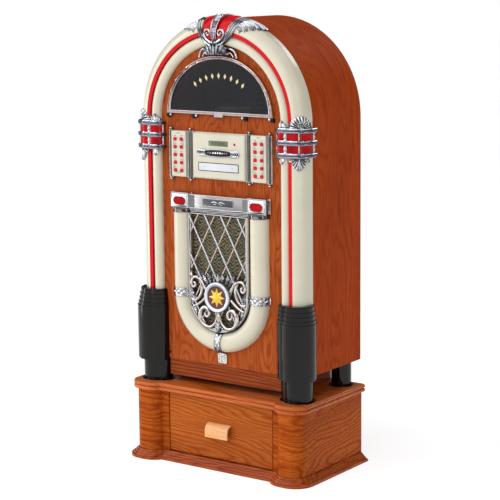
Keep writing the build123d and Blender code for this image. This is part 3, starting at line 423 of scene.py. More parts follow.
# ---------------------------------------------------------------- mesh building, in millimetres
class Piece:
    """Gathers closed parts, each with its own material, into one mesh that rides on a body."""

    def __init__(self, name, slot, body="cabinet", replaces=()):
        self.name, self.body, self.slot, self.stands_for = name, body, slot, replaces
        self.mesh = bmesh.new()
        self.finishes = []

    def loft(self, rings, finish, loop=False):
        """Joins closed rings of points, and caps the ends unless the rings themselves close up."""
        if finish not in self.finishes:
            self.finishes.append(finish)
        index = self.finishes.index(finish)
        rows = [[self.mesh.verts.new(Vector(p) * MM) for p in ring] for ring in rings]
        pairs = list(zip(rows, rows[1:])) + ([(rows[-1], rows[0])] if loop else [])
        faces = []
        for low, high in pairs:
            for i in range(len(low)):
                j = (i + 1) % len(low)
                faces.append(self.mesh.faces.new((low[i], low[j], high[j], high[i])))
        if not loop:
            faces.append(self.mesh.faces.new(rows[0][::-1]))
            faces.append(self.mesh.faces.new(rows[-1]))
        for face in faces:
            face.material_index = index
            face.smooth = True

    def done(self, crease=42):
        """Makes the object, with edges sharper than crease degrees left hard, and puts it on its body."""
        bmesh.ops.recalc_face_normals(self.mesh, faces=self.mesh.faces)
        data = bpy.data.meshes.new(self.name)
        self.mesh.to_mesh(data)
        self.mesh.free()
        data.set_sharp_from_angle(angle=math.radians(crease))
        made = bpy.data.objects.new(self.name, data)
        for finish in self.finishes:
            data.materials.append(finish)
        bpy.context.scene.collection.objects.link(made)
        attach(made, self.body)
        if self.stands_for:
            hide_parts(*self.stands_for)


def corners(node):
    """Lowest and highest corner of a CAD node, in millimetres."""
    lo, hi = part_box(node)
    return lo / MM, hi / MM


FORWARDS = (0, -1, 0)
FACE = corners("front_panel")[0].y
ARCH_REACH = corners("arch_tubes")[1].x
ARCH_Z = corners("arch_tubes")[1].z - ARCH_REACH


def front(x, z, proud):
    """Point in front of the panel."""
    return Vector((x, FACE - proud, z))


def arch(turn, out, proud):
    """Point round the arch: turn from its top, distance from its axis, distance in front of the panel."""
    return Vector((out * math.sin(turn), FACE - proud, ARCH_Z + out * math.cos(turn)))


def lerp(a, b, t):
    return a + (b - a) * t


def smooth(points, count):
    """Evenly stepped Catmull-Rom curve through the points."""
    points = [Vector(p) for p in points]
    padded = [points[0] * 2 - points[1], *points, points[-1] * 2 - points[-2]]
    spans = len(points) - 1
    made = []
    for i in range(count + 1):
        t = i / count * spans
        k = min(int(t), spans - 1)
        t -= k
        a, b, c, d = padded[k : k + 4]
        bend = (2 * a - 5 * b + 4 * c - d) * t * t
        twist = (3 * b - a - 3 * c + d) * t**3
        made.append(0.5 * (2 * b + (c - a) * t + bend + twist))
    return made


def rod(points, radius, sides, up=FORWARDS, section=None, closed=False):
    """Rings of a rod along a line. radius is a number or a function of the share of the way along it."""
    points = [Vector(p) for p in points]
    count = len(points)
    rings, travelled = [], 0.0
    for i, point in enumerate(points):
        before = points[i - 1] if i or closed else point
        after = points[(i + 1) % count] if i < count - 1 or closed else point
        along = (after - before).normalized()
        normal = Vector(up) - along * along.dot(Vector(up))
        if normal.length < 1e-3:
            normal = along.orthogonal()
        normal.normalize()
        side = along.cross(normal)
        if i:
            travelled += (point - points[i - 1]).length
        size = radius(i / max(1, count - 1)) if callable(radius) else radius
        ring = []
        for k in range(sides):
            angle = TAU * k / sides
            r = size * (section(angle, travelled) if section else 1)
            ring.append(point + side * (r * math.cos(angle)) + normal * (r * math.sin(angle)))
        rings.append(ring)
    return rings


def rope(angle, travelled):
    """Section of a rod twisted from three strands."""
    return 0.8 + 0.25 * abs(math.cos(1.5 * angle + travelled * 0.55))


def turned(centre, axis, profile, sides):
    """Rings of a turned part. profile holds (distance along the axis, radius)."""
    axis = Vector(axis).normalized()
    a = axis.orthogonal().normalized()
    b = axis.cross(a)
    spin = [a * math.cos(TAU * k / sides) + b * math.sin(TAU * k / sides) for k in range(sides)]
    return [[Vector(centre) + axis * h + s * max(r, 0.02) for s in spin] for h, r in profile]


def ball(centre, radius, sides=12, steps=8):
    bend = [math.pi * k / steps for k in range(steps + 1)]
    return turned(centre, FORWARDS, [(-radius * math.cos(t), radius * math.sin(t)) for t in bend], sides)


def leaf(place, spine, width, height, ribs, along=22, across=12, base=0.6, lobes=0):
    """Rings of a leaf or ribbed band on a surface. place(a, b, h) gives its points; spine holds (a, b)."""
    line = smooth([(a, b, 0) for a, b in spine], along)
    rings = []
    for i, p in enumerate(line):
        t = i / along
        ahead = line[min(i + 1, along)] - line[max(i - 1, 0)]
        normal = Vector((-ahead.y, ahead.x)).normalized()
        swell = max(0.15, math.sin(math.pi * min(1, 0.12 + 0.88 * t)) ** 0.6)
        reach = width(t) if callable(width) else width * swell
        if lobes:
            reach *= 1 + 0.16 * math.cos(TAU * lobes * t)
        thick = height(t) if callable(height) else height
        top, under = [], []
        for k in range(across + 1):
            s = 2 * k / across - 1
            crown = (1 - s * s) ** 0.5 if abs(s) < 1 else 0
            rib = 0.72 + 0.28 * math.cos(math.pi * ribs * s)
            a, b = p.x + normal.x * reach * s, p.y + normal.y * reach * s
            top.append(place(a, b, base + thick * (0.35 + 0.65 * crown) * rib))
            if k % 4 == 0:
                under.append(place(a, b, -0.4))
        rings.append(top + under[::-1])
    return rings


def fan(place, centre, inner, outer, start, end, flutes, height):
    """Rings of a fluted shell. outer may depend on the angle; angles are degrees from a towards b."""
    rings = []
    steps, per_flute = 8, 6
    total = flutes * per_flute
    for i in range(total + 1):
        angle = lerp(math.radians(start), math.radians(end), i / total)
        flute = abs(math.sin(math.pi * i / per_flute))
        reach = outer(angle) if callable(outer) else outer
        reach *= 0.93 + 0.07 * flute
        top, under = [], []
        for k in range(steps + 1):
            r = lerp(inner, reach, k / steps)
            lift = math.sin(math.pi * (0.18 + 0.72 * k / steps))
            a, b = centre[0] + r * math.cos(angle), centre[1] + r * math.sin(angle)
            top.append(place(a, b, 0.5 + height * lift * (0.4 + 0.6 * flute**0.7)))
            if k in (0, steps // 2, steps):
                under.append(place(a, b, -0.4))
        rings.append(top + under[::-1])
    return rings


def scroll(place, centre, radius, turns, start, thick, lift, spin=1):
    """Rings of a tapering volute that winds inwards and ends in a bead."""
    line = []
    points = 34
    for i in range(points + 1):
        t = i / points
        r = radius * (1 - 0.78 * t)
        angle = start + spin * TAU * turns * t
        a, b = centre[0] + r * math.cos(angle), centre[1] + r * math.sin(angle)
        line.append(place(a, b, lift + thick * (0.8 + 0.5 * t)))
    return rod(line, lambda t: thick * (1 - 0.45 * t) if t < 0.9 else thick * (0.9 + 0.3 * (t - 0.9) * 10), 8)


# ---------------------------------------------------------------- column clamps
# a column's section is two round lobes, given as (x, y, radius), and a straight side behind them
INNER_LOBE, OUTER_LOBE = (213.5, FACE - 2.0, 14.5), (237.0, FACE + 18.0, 33.0)
COLUMN_BACK = FACE + 36.0
# steps of the outline along each lobe and the side
ON_INNER, ON_OUTER, ON_SIDE = 14, 26, 4
RING_Z = (877.0, 910.0, 942.0)


def column_line(side, grow):
    """Outline of a column grown by this much: inner lobe, valley, outer lobe, then straight back."""
    (x1, y1, r1), (x2, y2, r2) = INNER_LOBE, OUTER_LOBE
    r1, r2 = r1 + grow, r2 + grow
    gap = Vector((x2 - x1, y2 - y1))
    reach = gap.length
    a = (r1 * r1 - r2 * r2 + reach * reach) / (2 * reach)
    h = math.sqrt(max(0, r1 * r1 - a * a))
    unit = gap / reach
    valley = Vector((x1, y1)) + unit * a + Vector((unit.y, -unit.x)) * h
    end1 = math.atan2(valley.y - y1, valley.x - x1)
    start2 = math.atan2(valley.y - y2, valley.x - x2)
    start1 = -math.pi - math.asin(min(1, 2 / r1))
    line = []
    for i in range(ON_INNER + 1):
        angle = lerp(start1, end1, i / ON_INNER)
        line.append((x1 + r1 * math.cos(angle), y1 + r1 * math.sin(angle)))
    for i in range(1, ON_OUTER + 1):
        angle = lerp(start2, 0, i / ON_OUTER)
        line.append((x2 + r2 * math.cos(angle), y2 + r2 * math.sin(angle)))
    for i in range(1, ON_SIDE + 1):
        line.append((x2 + r2, lerp(y2, COLUMN_BACK, i / ON_SIDE)))
    return [(side * x, y) for x, y in line]


def round_column(side, profile):
    """Rings of a moulding that follows the column; profile holds (stand-off, height)."""
    lines = [column_line(side, d) for d, z in profile]
    return [[(*spot, z) for spot, (d, z) in zip(spots, profile)] for spots in zip(*lines)]


def on_lobe(side, lobe, facing):
    """Surface of one lobe: a runs round it from the facing direction, b is the height."""
    x, y, r = lobe

    def place(a, b, h):
        angle = facing + a / r
        return Vector((side * (x + (r + h) * math.cos(angle)), y + (r + h) * math.sin(angle), b))

    return place


# a ring is a band between two stepped lips, as distance from the column and height; the band's dark blue-grey
# chrome is a painted dark reflection, and the lips' lighter chrome is a painted highlight
RING_BAND = ((2.5, -3.0), (14.3, -3.0), (14.8, -1.4), (15, 0), (14.8, 1.4), (14.3, 3.0), (2.5, 3.0))
RING_LIP = (
    (2.5, 2.8), (14.5, 2.8), (14.9, 3.4), (14.3, 4.3), (12.4, 4.9), (12.0, 6.0), (9, 6.6), (2.5, 6.6),
)
clamps = Piece("clamp_chrome", slot="chrome", replaces=("arch_clamps",))
for side in (-1, 1):
    for ring_z in RING_Z:
        clamps.loft(round_column(side, [(d, ring_z + z) for d, z in RING_BAND]), RING_PAINTED_DARK_REFLECTION)
        clamps.loft(round_column(side, [(d, ring_z + z) for d, z in RING_LIP]), LIP_PAINTED_HIGHLIGHT)
        clamps.loft(round_column(side, [(d, ring_z - z) for d, z in reversed(RING_LIP)]), LIP_PAINTED_HIGHLIGHT)
    for low, high in zip(RING_Z, RING_Z[1:]):
        low, high = low + 5.0, high - 5.0
        outline = column_line(side, 9.4)
        turned_post = lambda t: 2.6 + 1.3 * abs(math.cos(TAU * t))
        # small turned posts beside the panel, in the valley, on the outer lobe and near the back
        for spot, size in ((2, 1.0), (ON_INNER, 1.6), (ON_INNER + 13, 0.6), (len(outline) - 3, 1.1)):
            x, y = outline[spot]
            line = [(x, y, lerp(low, high, k / 10)) for k in range(11)]
            clamps.loft(rod(line, lambda t, s=size: s * turned_post(t), 10), CHROME)
    outer = on_lobe(side, OUTER_LOBE, math.radians(-48))
    inner = on_lobe(side, INNER_LOBE, math.radians(-108))
    top, bottom = RING_Z[2] + 6.0, RING_Z[0] - 6.0
    # shell over the top ring, round a scroll, with leaves beside it and on the inner lobe
    clamps.loft(fan(outer, (2, top), 9, 31, -4, 184, 10, 6.5), CHROME)
    clamps.loft(scroll(outer, (2, top + 6), 9, 1.4, 0, 2.4, lift=2), CHROME)
    for lobe, spine, wide, high, ribs in (
        (outer, ((-34, 0), (-30, 8), (-22, 13)), 6, 5, 2), (outer, ((34, 0), (31, 8), (26, 14)), 6, 5, 2),
        (inner, ((0, -2), (0.5, 8), (1, 19)), 7.5, 5, 2), (inner, ((-9, -2), (-10, 4), (-8, 10)), 4.5, 4, 1),
        (inner, ((9, -2), (10, 4), (9, 11)), 4.5, 4, 1),
    ):
        clamps.loft(leaf(lobe, [(a, top + b) for a, b in spine], wide, high, ribs), CHROME)
    # pointed shell under the bottom ring
    pointed = lambda angle: 22 + 13 * max(0, math.sin(-angle)) ** 4
    clamps.loft(fan(outer, (-2, bottom + 1), 6, pointed, -178, -2, 10, 6), CHROME)
    clamps.loft(scroll(outer, (20, bottom - 7), 8, 1.3, math.pi, 2.3, lift=2, spin=-1), CHROME)
    clamps.loft(scroll(outer, (-22, bottom - 6), 7, 1.3, 0, 2.2, lift=2), CHROME)
    clamps.loft(leaf(outer, ((-2, bottom), (-2, bottom - 16), (-1, bottom - 35)), 4, 6.5, ribs=1), CHROME)
    clamps.loft(leaf(inner, ((0, bottom + 2), (0, bottom - 7), (1, bottom - 18)), 8, 5, ribs=2), CHROME)
    clamps.loft(scroll(inner, (-7, bottom - 4), 5, 1.1, 0, 1.7, lift=1), CHROME)
clamps.done()


# ---------------------------------------------------------------- crest over the arch
# line of the crest in the plane of symmetry, as distance from the arch's axis and in front of the panel
CREST_LINE = (
    (176, 17), (190, 18.5), (204, 18), (216, 18), (228, 17.6), (238, 16), (249, 12), (259, 4), (266, -6),
    (270.4, -18), (271, -30), (271, -40),
)
# length of that line as b, and the radius at which a is measured round the arch
CREST_LONG, CREST_SPREAD = 134.0, 240.0


def crest_place(side):
    """Surface over the arch: a runs sideways, b runs from the foot of the crest up over the tube."""
    count = 60
    line = smooth([(u, v, 0) for u, v in CREST_LINE], count)

    def place(a, b, h):
        t = min(max(b / CREST_LONG, 0), 1) * count
        k = min(int(t), count - 1)
        spot = line[k].lerp(line[k + 1], t - k)
        ahead = (line[min(k + 2, count)] - line[max(k - 1, 0)]).normalized()
        return arch(side * a / CREST_SPREAD, spot.x - ahead.y * h, spot.y + ahead.x * h)

    return place


crest = Piece("crest_chrome", slot="chrome", replaces=("crest",))
crest_glass = Piece("crest_lenses", slot="red_plastic")
middle = crest_place(1)


def crest_ribbon(half, first, last, height, ribs, steps=40):
    """Ribbed band that climbs over the tube, with raised edges."""
    rings = []
    across = 16
    for i in range(steps + 1):
        t = i / steps
        b = lerp(first, last, t)
        reach = half(t)
        rise = height * math.sin(math.pi * (0.12 + 0.76 * t)) ** 0.5
        top, under = [], []
        for k in range(across + 1):
            s = 2 * k / across - 1
            edge = 1.0 if abs(s) > 0.8 else 0.70 + 0.12 * math.cos(ribs * math.pi * s)
            fine = 0.07 * math.sin(TAU * 11 * t) * (abs(s) < 0.8)
            top.append(middle(reach * s, b, 1.5 + rise * (edge + fine)))
            if k % 4 == 0:
                under.append(middle(reach * s, b, -0.2))
        rings.append(top + under[::-1])
    return rings


def laid(place, spots, height, count=36):
    """Smooth line through the spots, at a height over a surface."""
    return [place(p.x, p.y, height) for p in smooth([(a, b, 0) for a, b in spots], count)]


# lines on the crest's surface as (a, b); each lower leaf adds its width and height
CREST_BAND = ((12, 27), (30, 36), (40, 52), (44, 76), (49, 102), (54, 130))
HEART = ((3, 26), (14, 29), (27, 38), (33, 50), (29, 60), (20, 62), (14, 56), (16, 48), (22, 47), (24, 52))
FEATHERS = (
    ((60, 127), (92, 131), (124, 124)), ((60, 118), (90, 122), (121, 112)),
    ((58, 109), (86, 112), (115, 100)), ((57, 100), (81, 102), (106, 89)),
    ((55, 91), (74, 92), (94, 80)), ((53, 82), (66, 82), (80, 73)),
)
LOWER_LEAVES = (
    ((10, 2), (12, 16), (13, 29), 6.0, 8), ((20, 3), (27, 14), (28, 26), 6.5, 7),
    ((30, 3), (39, 10), (42, 19), 6.0, 6), ((8, 20), (16, 27), (26, 30), 5.0, 8),
)
feather_width = lambda t: 6.4 * math.sin(math.pi * (0.16 + 0.78 * t)) ** 0.5
crest.loft(crest_ribbon(lambda t: 8 + 11 * t * t, 36, CREST_LONG, 10.5, 4), SATIN)
for side in (-1, 1):
    on = crest_place(side)
    lens_line = ((17, 36), (23, 58), (29, 92), (35, 126))
    lens_width = lambda t: 9 + 9 * t**0.5
    crest_glass.loft(leaf(on, lens_line, lens_width, 6.5, ribs=0, across=14), CREST_LENS)
    # ribs leave the heart-shaped loop, cross the tube and turn into the wing
    for n in range(4):
        path = []
        for i, (a, b) in enumerate(CREST_BAND):
            path.append((a + 5.8 * n * (0.45 + 0.55 * i / 5), b - n * (i < 2)))
        rise = lambda t, low=6.5 - 0.9 * abs(n - 1): low * (1 + 0.6 * math.sin(math.pi * t))
        crest.loft(leaf(on, path, lambda t: 3.9 - 0.3 * t, rise, ribs=1, along=34, across=8), CHROME)
    for n, spots in enumerate(FEATHERS):
        crest.loft(leaf(on, spots, feather_width, 5.0 - 0.3 * n, ribs=3), BAND_CHROME)
        (a0, b0), (a1, b1), (a2, b2) = spots
        barbs = ((a0 + 14, b0 - 4), (a1 + 6, b1 - 6), (a2 - 5, b2 - 7))
        crest.loft(leaf(on, barbs, 3.2, 4.4 - 0.3 * n, ribs=1, across=8), BAND_CHROME)
    crest.loft(rod(laid(on, HEART, 8), lambda t: 3.8 - 1.8 * t, 8), CHROME)
    crest.loft(ball(on(24, 52, 8), 3.2), CHROME)
    outer_rib = laid(on, ((14, 20), (29, 26), (38, 36), (41, 47), (38, 56)), 6)
    crest.loft(rod(outer_rib, lambda t: 3.4 - t, 8), CHROME)
    for start, bend, tip, wide, high in LOWER_LEAVES:
        crest.loft(leaf(on, (start, bend, tip), wide, high, ribs=2, lobes=2, base=3.5), SATIN)
    # bracket that curves down to just above the window
    for legs, thick, taper in (
        (((24, 1147, 9), (44, 1146, 9), (57, 1137, 8), (62, 1122, 8)), 3.6, 0.8),
        (((20, 1139, 9), (38, 1137, 9), (47, 1131, 8), (50, 1124.4, 8)), 2.6, 0.5),
    ):
        bow = smooth([front(side * x, z, v) for x, z, v in legs], 18)
        crest.loft(rod(bow, lambda t, r=thick, s=taper: r - s * t, 10), CHROME)
crest.loft(leaf(middle, ((0, -2), (0, 10), (0, 27)), 7.5, 10, ribs=2, lobes=2, base=3.5), SATIN)
crest.loft(leaf(middle, ((0, 28), (0, 40), (0, 56)), 5.5, 9, ribs=2, base=2.0), CHROME)
crest.loft(crest_ribbon(lambda t: 34 - 10 * t, -1, 32, 4.5, 6, steps=10), SATIN)
brace = [front(x, z, 8) for x, z in ((-40, 1135), (0, 1139), (40, 1135))]
crest.loft(rod(smooth(brace, 20), 6.5, 12), CHROME)
crest.done()
crest_glass.done()


# ---------------------------------------------------------------- speaker grille
def slab(x0, x1, z0, z1, v0, v1, radius, edge, crown=0.0):
    """Rings of a plate on the front, with rounded corners, soft front edges and perhaps a crowned face."""

    def outline(inset, v):
        spots = []
        for cx, cz, start in ((x1, z1, 0), (x0, z1, 90), (x0, z0, 180), (x1, z0, 270)):
            for k in range(5):
                angle = math.radians(start + 22.5 * k)
                over = radius - inset
                x_way, z_way = 1 if cx == x1 else -1, 1 if cz == z1 else -1
                # a corner smaller than the inset is sharp
                dx = over * (math.cos(angle) if over > 0 else x_way)
                dz = over * (math.sin(angle) if over > 0 else z_way)
                spots.append(front(cx - x_way * radius + dx, cz - z_way * radius + dz, v))
        return spots

    rings = [outline(0, v0), outline(0, v1 - edge), outline(0.3 * edge, v1 - 0.3 * edge), outline(edge, v1)]
    if crown:
        rings.append(outline(3 * edge + crown, v1 + crown))
    return rings


TUBE_TOP, BEND_Z, OPENING = 703.0, 480.0, 95.0


def u_line(u, v, count=60):
    """Line along the U of the speaker opening, down one side, round the bend and up the other."""
    spots = [front(-u, lerp(TUBE_TOP, BEND_Z, k / 20), v) for k in range(20)]
    turns = [math.pi * k / count for k in range(count + 1)]
    spots += [front(-u * math.cos(t), BEND_Z - u * math.sin(t), v) for t in turns]
    spots += [front(u, lerp(BEND_Z, TUBE_TOP, k / 20), v) for k in range(1, 21)]
    return spots


grille = Piece("grille_chrome", slot="chrome", replaces=("speaker_grille",))
WALL = ((92.4, 0.5), (92.4, 14), (93.4, 17), (95, 18.6), (97, 18.8), (98.8, 17.6), (99.6, 15), (99.6, 0.5))
lines = [u_line(u, v) for u, v in WALL]
grille.loft(list(zip(*lines)), COPPER)
grille.loft(rod(u_line(96.6, 19.4), 2.3, 8), CHROME)
inner_edge = u_line(92.6, 17.5, 120)
grille.loft(rod(inner_edge, lambda t: 1.3 + 1.3 * abs(math.sin(math.pi * 62 * t)), 8), CHROME)
# the lattice's crossings: their spacing sideways and upwards, and the height of one row
PITCH, RISE, ROW_Z = 54.6, 51.0, 671.0
for lean in (-1, 1):
    for start in range(-5, 6):
        spots = []
        for k in range(280):
            z = lerp(TUBE_TOP - 2, BEND_Z - OPENING, k / 279)
            x = (start + 0.5) * PITCH + lean * (z - ROW_Z) * PITCH / (2 * RISE)
            if abs(x) < OPENING and (z > BEND_Z or math.hypot(x, z - BEND_Z) < OPENING):
                spots.append(front(x, z, 16.4 if lean > 0 else 18.4))
        if len(spots) < 6:
            continue
        if lean > 0:
            grille.loft(rod([spots[0], *spots[4:-4:6], spots[-1]], 2.5, 10), COPPER)
        else:
            grille.loft(rod(spots, 3.2, 10, section=rope), CHROME)
grille.loft(rod([front(x, TUBE_TOP - 1, 17) for x in (-92, 92)], 1.6, 8), CHROME)
grille.done()


# ---------------------------------------------------------------- medallion and its branches
HUB_Z = 479.0
BRANCHES_PROUD = 17
face = lambda a, b, h: front(a, b, BRANCHES_PROUD + h)
around_hub = lambda r, angle, v: front(r * math.cos(angle), HUB_Z + r * math.sin(angle), v)
medal = Piece("medallion", slot="chrome", replaces=("speaker_medallion",))
hub = front(0, HUB_Z, 0)
ring = (
    (17, 0), (17, 41), (24, 42), (27.5, 42), (29.5, 40.8), (30.3, 38.8), (30.0, 36.5), (29.2, 34), (28.6, 32),
    (26.8, 31), (24.5, 30.6), (24.5, 0),
)
medal.loft(turned(hub, FORWARDS, ring, 64), PEWTER)
disc = ((24.0, 0), (24.0, 30.4), (26.0, 30.2), (26.6, 20), (26.8, 0))
medal.loft(turned(hub, FORWARDS, disc, 64), MAROON)
for k in range(28):
    medal.loft(ball(around_hub(37.6, TAU * k / 28, 29.6), 1.1, 8, 6), PEWTER)
medal.done()
star = Piece("medallion_star", slot="chrome")
star_rings = [[], [], []]
for k in range(16):
    turn = TAU * k / 16
    reach = 27 if k % 2 == 0 else 13.5
    star_rings[0].append(around_hub(reach, turn + math.pi / 2, 26.2))
    star_rings[1].append(around_hub(reach, turn + math.pi / 2, 27.0))
    star_rings[2].append(around_hub(0.2, turn, 32.0))
star.loft(star_rings, STAR_GOLD)
star.done(crease=8)

vines = Piece("grille_vines", slot="chrome")
gems = Piece("grille_gems", slot="red_plastic")
SIDE_LOOP = (
    (42, 498), (52, 514), (66, 526), (82, 526), (90, 512), (86, 500), (78, 502), (77, 510), (82, 513),
)
OUTER_LOOP = ((66, 526), (58, 508), (57, 490), (66, 472), (80, 462), (91, 466))
LOWER_VOLUTE = (
    (4, 424), (12, 406), (28, 394), (48, 398), (61, 414), (60, 434), (48, 446), (35, 442), (31, 429),
    (38, 421), (46, 426),
)
SHOULDER = ((42, 474), (56, 462), (70, 452), (84, 446))
for side in (-1, 1):
    on = lambda a, b, h, s=side: face(s * a, b, h)
    vines.loft(rod(laid(on, SIDE_LOOP, 2.5), lambda t: 5.4 - 2.2 * t, 10), BRONZED)
    vines.loft(rod(laid(on, OUTER_LOOP, 0.5), lambda t: 4.8 - 0.8 * t, 10), BRONZED)
    volute = laid(on, LOWER_VOLUTE, 2.5, 60)
    vines.loft(rod(volute, lambda t: 3.8 + 2.8 * math.sin(math.pi * t) ** 2, 12), BRONZED)
    vines.loft(ball(on(45, 429, 2), 4.2), CHROME)
    vines.loft(ball(on(81, 511, 2), 3.2), CHROME)
    vines.loft(rod(laid(on, SHOULDER, 1.0), lambda t: 5.2 - 1.6 * t, 10), BRONZED)
    for spots, wide, high in (
        (((46, 504), (60, 522), (74, 542)), 6.5, 7), (((36, 510), (46, 528), (56, 548)), 5.5, 6),
        (((26, 516), (32, 532), (34, 546)), 5.0, 6), (((12, 520), (15, 532), (16, 544)), 4.5, 6),
        (((70, 466), (84, 480), (90, 498)), 4.5, 5), (((78, 450), (78, 436), (72, 422)), 4.5, 5),
        (((84, 522), (92, 536), (92, 552)), 4.5, 5),
    ):
        vines.loft(leaf(on, spots, wide, high, ribs=2, along=14, across=8, lobes=2), CHROME)
    for x, z, r in ((47, 470, 9.0), (36, 520, 6.5)):
        cut = ((0, r), (3, r), (5, 0.7 * r), (6, 0))
        gems.loft(turned(front(side * x, z, 13), FORWARDS, cut, 3), GARNET)
vines.loft(leaf(face, ((0, 518), (0, 530), (0, 545)), 5, 6, ribs=2), CHROME)
vines.loft(leaf(face, ((0, 440), (0, 420), (0, 396)), 9, 8, ribs=2, lobes=3), BRONZED)
raised = lambda a, b, h: face(a, b, 3 + h)
vines.loft(leaf(raised, ((0, 410), (0, 398), (0, 384)), 10, 8, ribs=2, lobes=2), CHROME)
vines.done()
gems.done(crease=20)


# ---------------------------------------------------------------- bars, straps, badge and tag
PANEL_LOW, PANEL_HIGH = 797.0, 923.0
STRAP_Z, TUBE_X, TUBE_R = 482.0, 128.0, 28.0
BADGE_Z, TAG_Z = 869.0, 314.0
SIDEWAYS, UPWARDS = Vector((1, 0, 0)), Vector((0, 0, 1))
FINIAL = (
    (-1, 4.2), (0.6, 4.4), (1.2, 3.0), (2.0, 2.0), (2.6, 3.0), (3.6, 4.0), (5.2, 4.4), (6.8, 3.8), (7.8, 2.4),
    (8.2, 0),
)
trims = Piece("trim_chrome", slot="chrome", replaces=("chrome_trims",))
badge = Piece("badge_plate", slot="black_plastic")


def strap_ring(centre, out, up, width):
    """Rings of a strap over a half-round tube, with leaf relief between two raised edges."""
    rings = []
    turns, steps, wide_steps = 5, 72, 14
    for i in range(steps + 1):
        angle = lerp(0.02, math.pi - 0.02, i / steps)
        radial = out * math.cos(angle) + Vector(FORWARDS) * math.sin(angle)
        top = []
        for k in range(wide_steps + 1):
            s = 2 * k / wide_steps - 1
            weave = abs(math.sin(turns * angle + 2.2 * s)) * abs(math.sin(turns * angle - 2.2 * s))
            r = TUBE_R + (2.8 if abs(s) > 0.8 else 1.3 + 2.6 * weave)
            top.append(centre + up * (width * s) + radial * r)
        under = [centre + up * (width * s) + radial * (TUBE_R + 0.3) for s in (1, 0, -1)]
        rings.append(top + under)
    return rings


def strap_bead(centre, out, up, offset):
    """Line of the bead along one edge of a strap."""
    start, ahead = centre + up * offset, Vector(FORWARDS)
    turns = [math.pi * k / 40 for k in range(41)]
    return [start + out * (31 * math.cos(t)) + ahead * (31 * math.sin(t)) for t in turns]


for side in (-1, 1):
    for inner_x, outer_x in ((88.0, 107.6), (157.2, 170.0)):
        section = []
        for k in range(25):
            s = k / 24
            section.append((lerp(inner_x, outer_x, s), 3.4 + 2.6 * abs(math.cos(3 * math.pi * s))))
        section += [(outer_x, 2.0), (inner_x, 2.0)]
        heights = (PANEL_LOW - 2, (PANEL_LOW + PANEL_HIGH) / 2, PANEL_HIGH + 2)
        trims.loft([[front(side * x, z, v) for x, v in section] for z in heights], DARK_CHROME)
        for x in (inner_x + 0.8, outer_x - 0.8):
            trims.loft(rod([front(side * x, z, 4.6) for z in (heights[0], heights[-1])], 1.5, 10), CHROME)
        middle_x = side * (inner_x + outer_x) / 2
        for end, way in ((PANEL_LOW - 1, -1), (PANEL_HIGH + 1, 1)):
            trims.loft(turned(front(middle_x, end, 5.5), (0, 0, way), FINIAL, 16), CHROME)
    hold = Vector((side * TUBE_X, FACE, STRAP_Z))
    trims.loft(strap_ring(hold, SIDEWAYS, UPWARDS, 10), CHROME)
    for edge in (-10, 10):
        trims.loft(rod(strap_bead(hold, SIDEWAYS, UPWARDS, edge), 1.3, 8, up=UPWARDS), CHROME)
    foot = sorted((side * 157.0, side * 163.0))
    trims.loft(slab(*foot, STRAP_Z - 10, STRAP_Z + 10, 0.1, 5, 1.5, 0.8), CHROME)
    link = sorted((side * 92, side * 99))
    trims.loft(slab(*link, STRAP_Z - 8, STRAP_Z + 8, 12, 20, 2, 1), CHROME)
low_hold = front(0, BEND_Z - TUBE_X, 0)
trims.loft(strap_ring(low_hold, UPWARDS, SIDEWAYS, 9), CHROME)
for edge in (-9, 9):
    trims.loft(rod(strap_bead(low_hold, UPWARDS, SIDEWAYS, edge), 1.3, 8, up=SIDEWAYS), CHROME)
# tag under the grille, with three pairs of small leaves
trims.loft(slab(-15, 15, TAG_Z - 22, TAG_Z + 6.5, 0.1, 5.4, 5, 1.2), HAMMERED)
trims.loft(slab(-9, 9, TAG_Z + 4, TAG_Z + 12, 0.1, 6.5, 2, 1.2), HAMMERED)
for k in range(3):
    z = TAG_Z - 6.5 * k
    for side in (-1, 1):
        on = lambda a, b, h, s=side: front(s * a, b, 5.2 + h)
        spine = ((1, z - 3), (6, z), (12, z + 4))
        trims.loft(leaf(on, spine, 2.2, 1.6, ribs=1, along=10, across=6), HAMMERED)
# badge: dark field in a chrome rim, with pointed ribs each side
badge.loft(slab(-44, 44, BADGE_Z - 9, BADGE_Z + 9, 12.1, 14.6, 8.9, 0.8), BLACK_PLASTIC)
badge.loft(slab(-66, 66, BADGE_Z - 8, BADGE_Z + 8, 12.05, 13.0, 7.9, 0.4), BLACK_PLASTIC)
# dark line round the disc tray's front
TRAY_SIDE, TRAY_LOW, TRAY_HIGH = 66, 820.2, 841.8
for z in (TRAY_LOW, TRAY_HIGH):
    badge.loft(rod([front(x, z, 12.3) for x in (-TRAY_SIDE, TRAY_SIDE)], 0.9, 8), BLACK_PLASTIC)
for x in (-TRAY_SIDE, TRAY_SIDE):
    badge.loft(rod([front(x, z, 12.3) for z in (TRAY_LOW, TRAY_HIGH)], 0.9, 8), BLACK_PLASTIC)
rim_line = []
for k in range(64):
    across, rise = math.cos(TAU * k / 64), math.sin(TAU * k / 64)
    flat = max(-1, min(1, 1.35 * across))
    rim_line.append(front(flat * 36 + 8.5 * across, BADGE_Z + 9.6 * rise, 14.6))
trims.loft(rod(rim_line, 1.3, 8, closed=True), CHROME, loop=True)
for side in (-1, 1):
    for k in range(4):
        tip = 69 - 6.4 * k
        reach = 9.5 - 0.4 * k
        bend = ((17, 1), (6, 0.7), (0, 0), (6, -0.7), (17, -1))
        spots = [front(side * (tip - back), BADGE_Z + share * reach, 13.6) for back, share in bend]
        trims.loft(rod(smooth(spots, 24), 1.5, 8), CHROME)
for k in range(-4, 5):
    tall = 4.6 - 0.35 * abs(k)
    diamond = ((-tall, 0.1), (0, 2.6), (tall, 0.1))
    trims.loft(turned(front(7.6 * k, BADGE_Z, 14.9), (0.35, 0, 1), diamond, 6), CHROME)
trims.done()
badge.done()


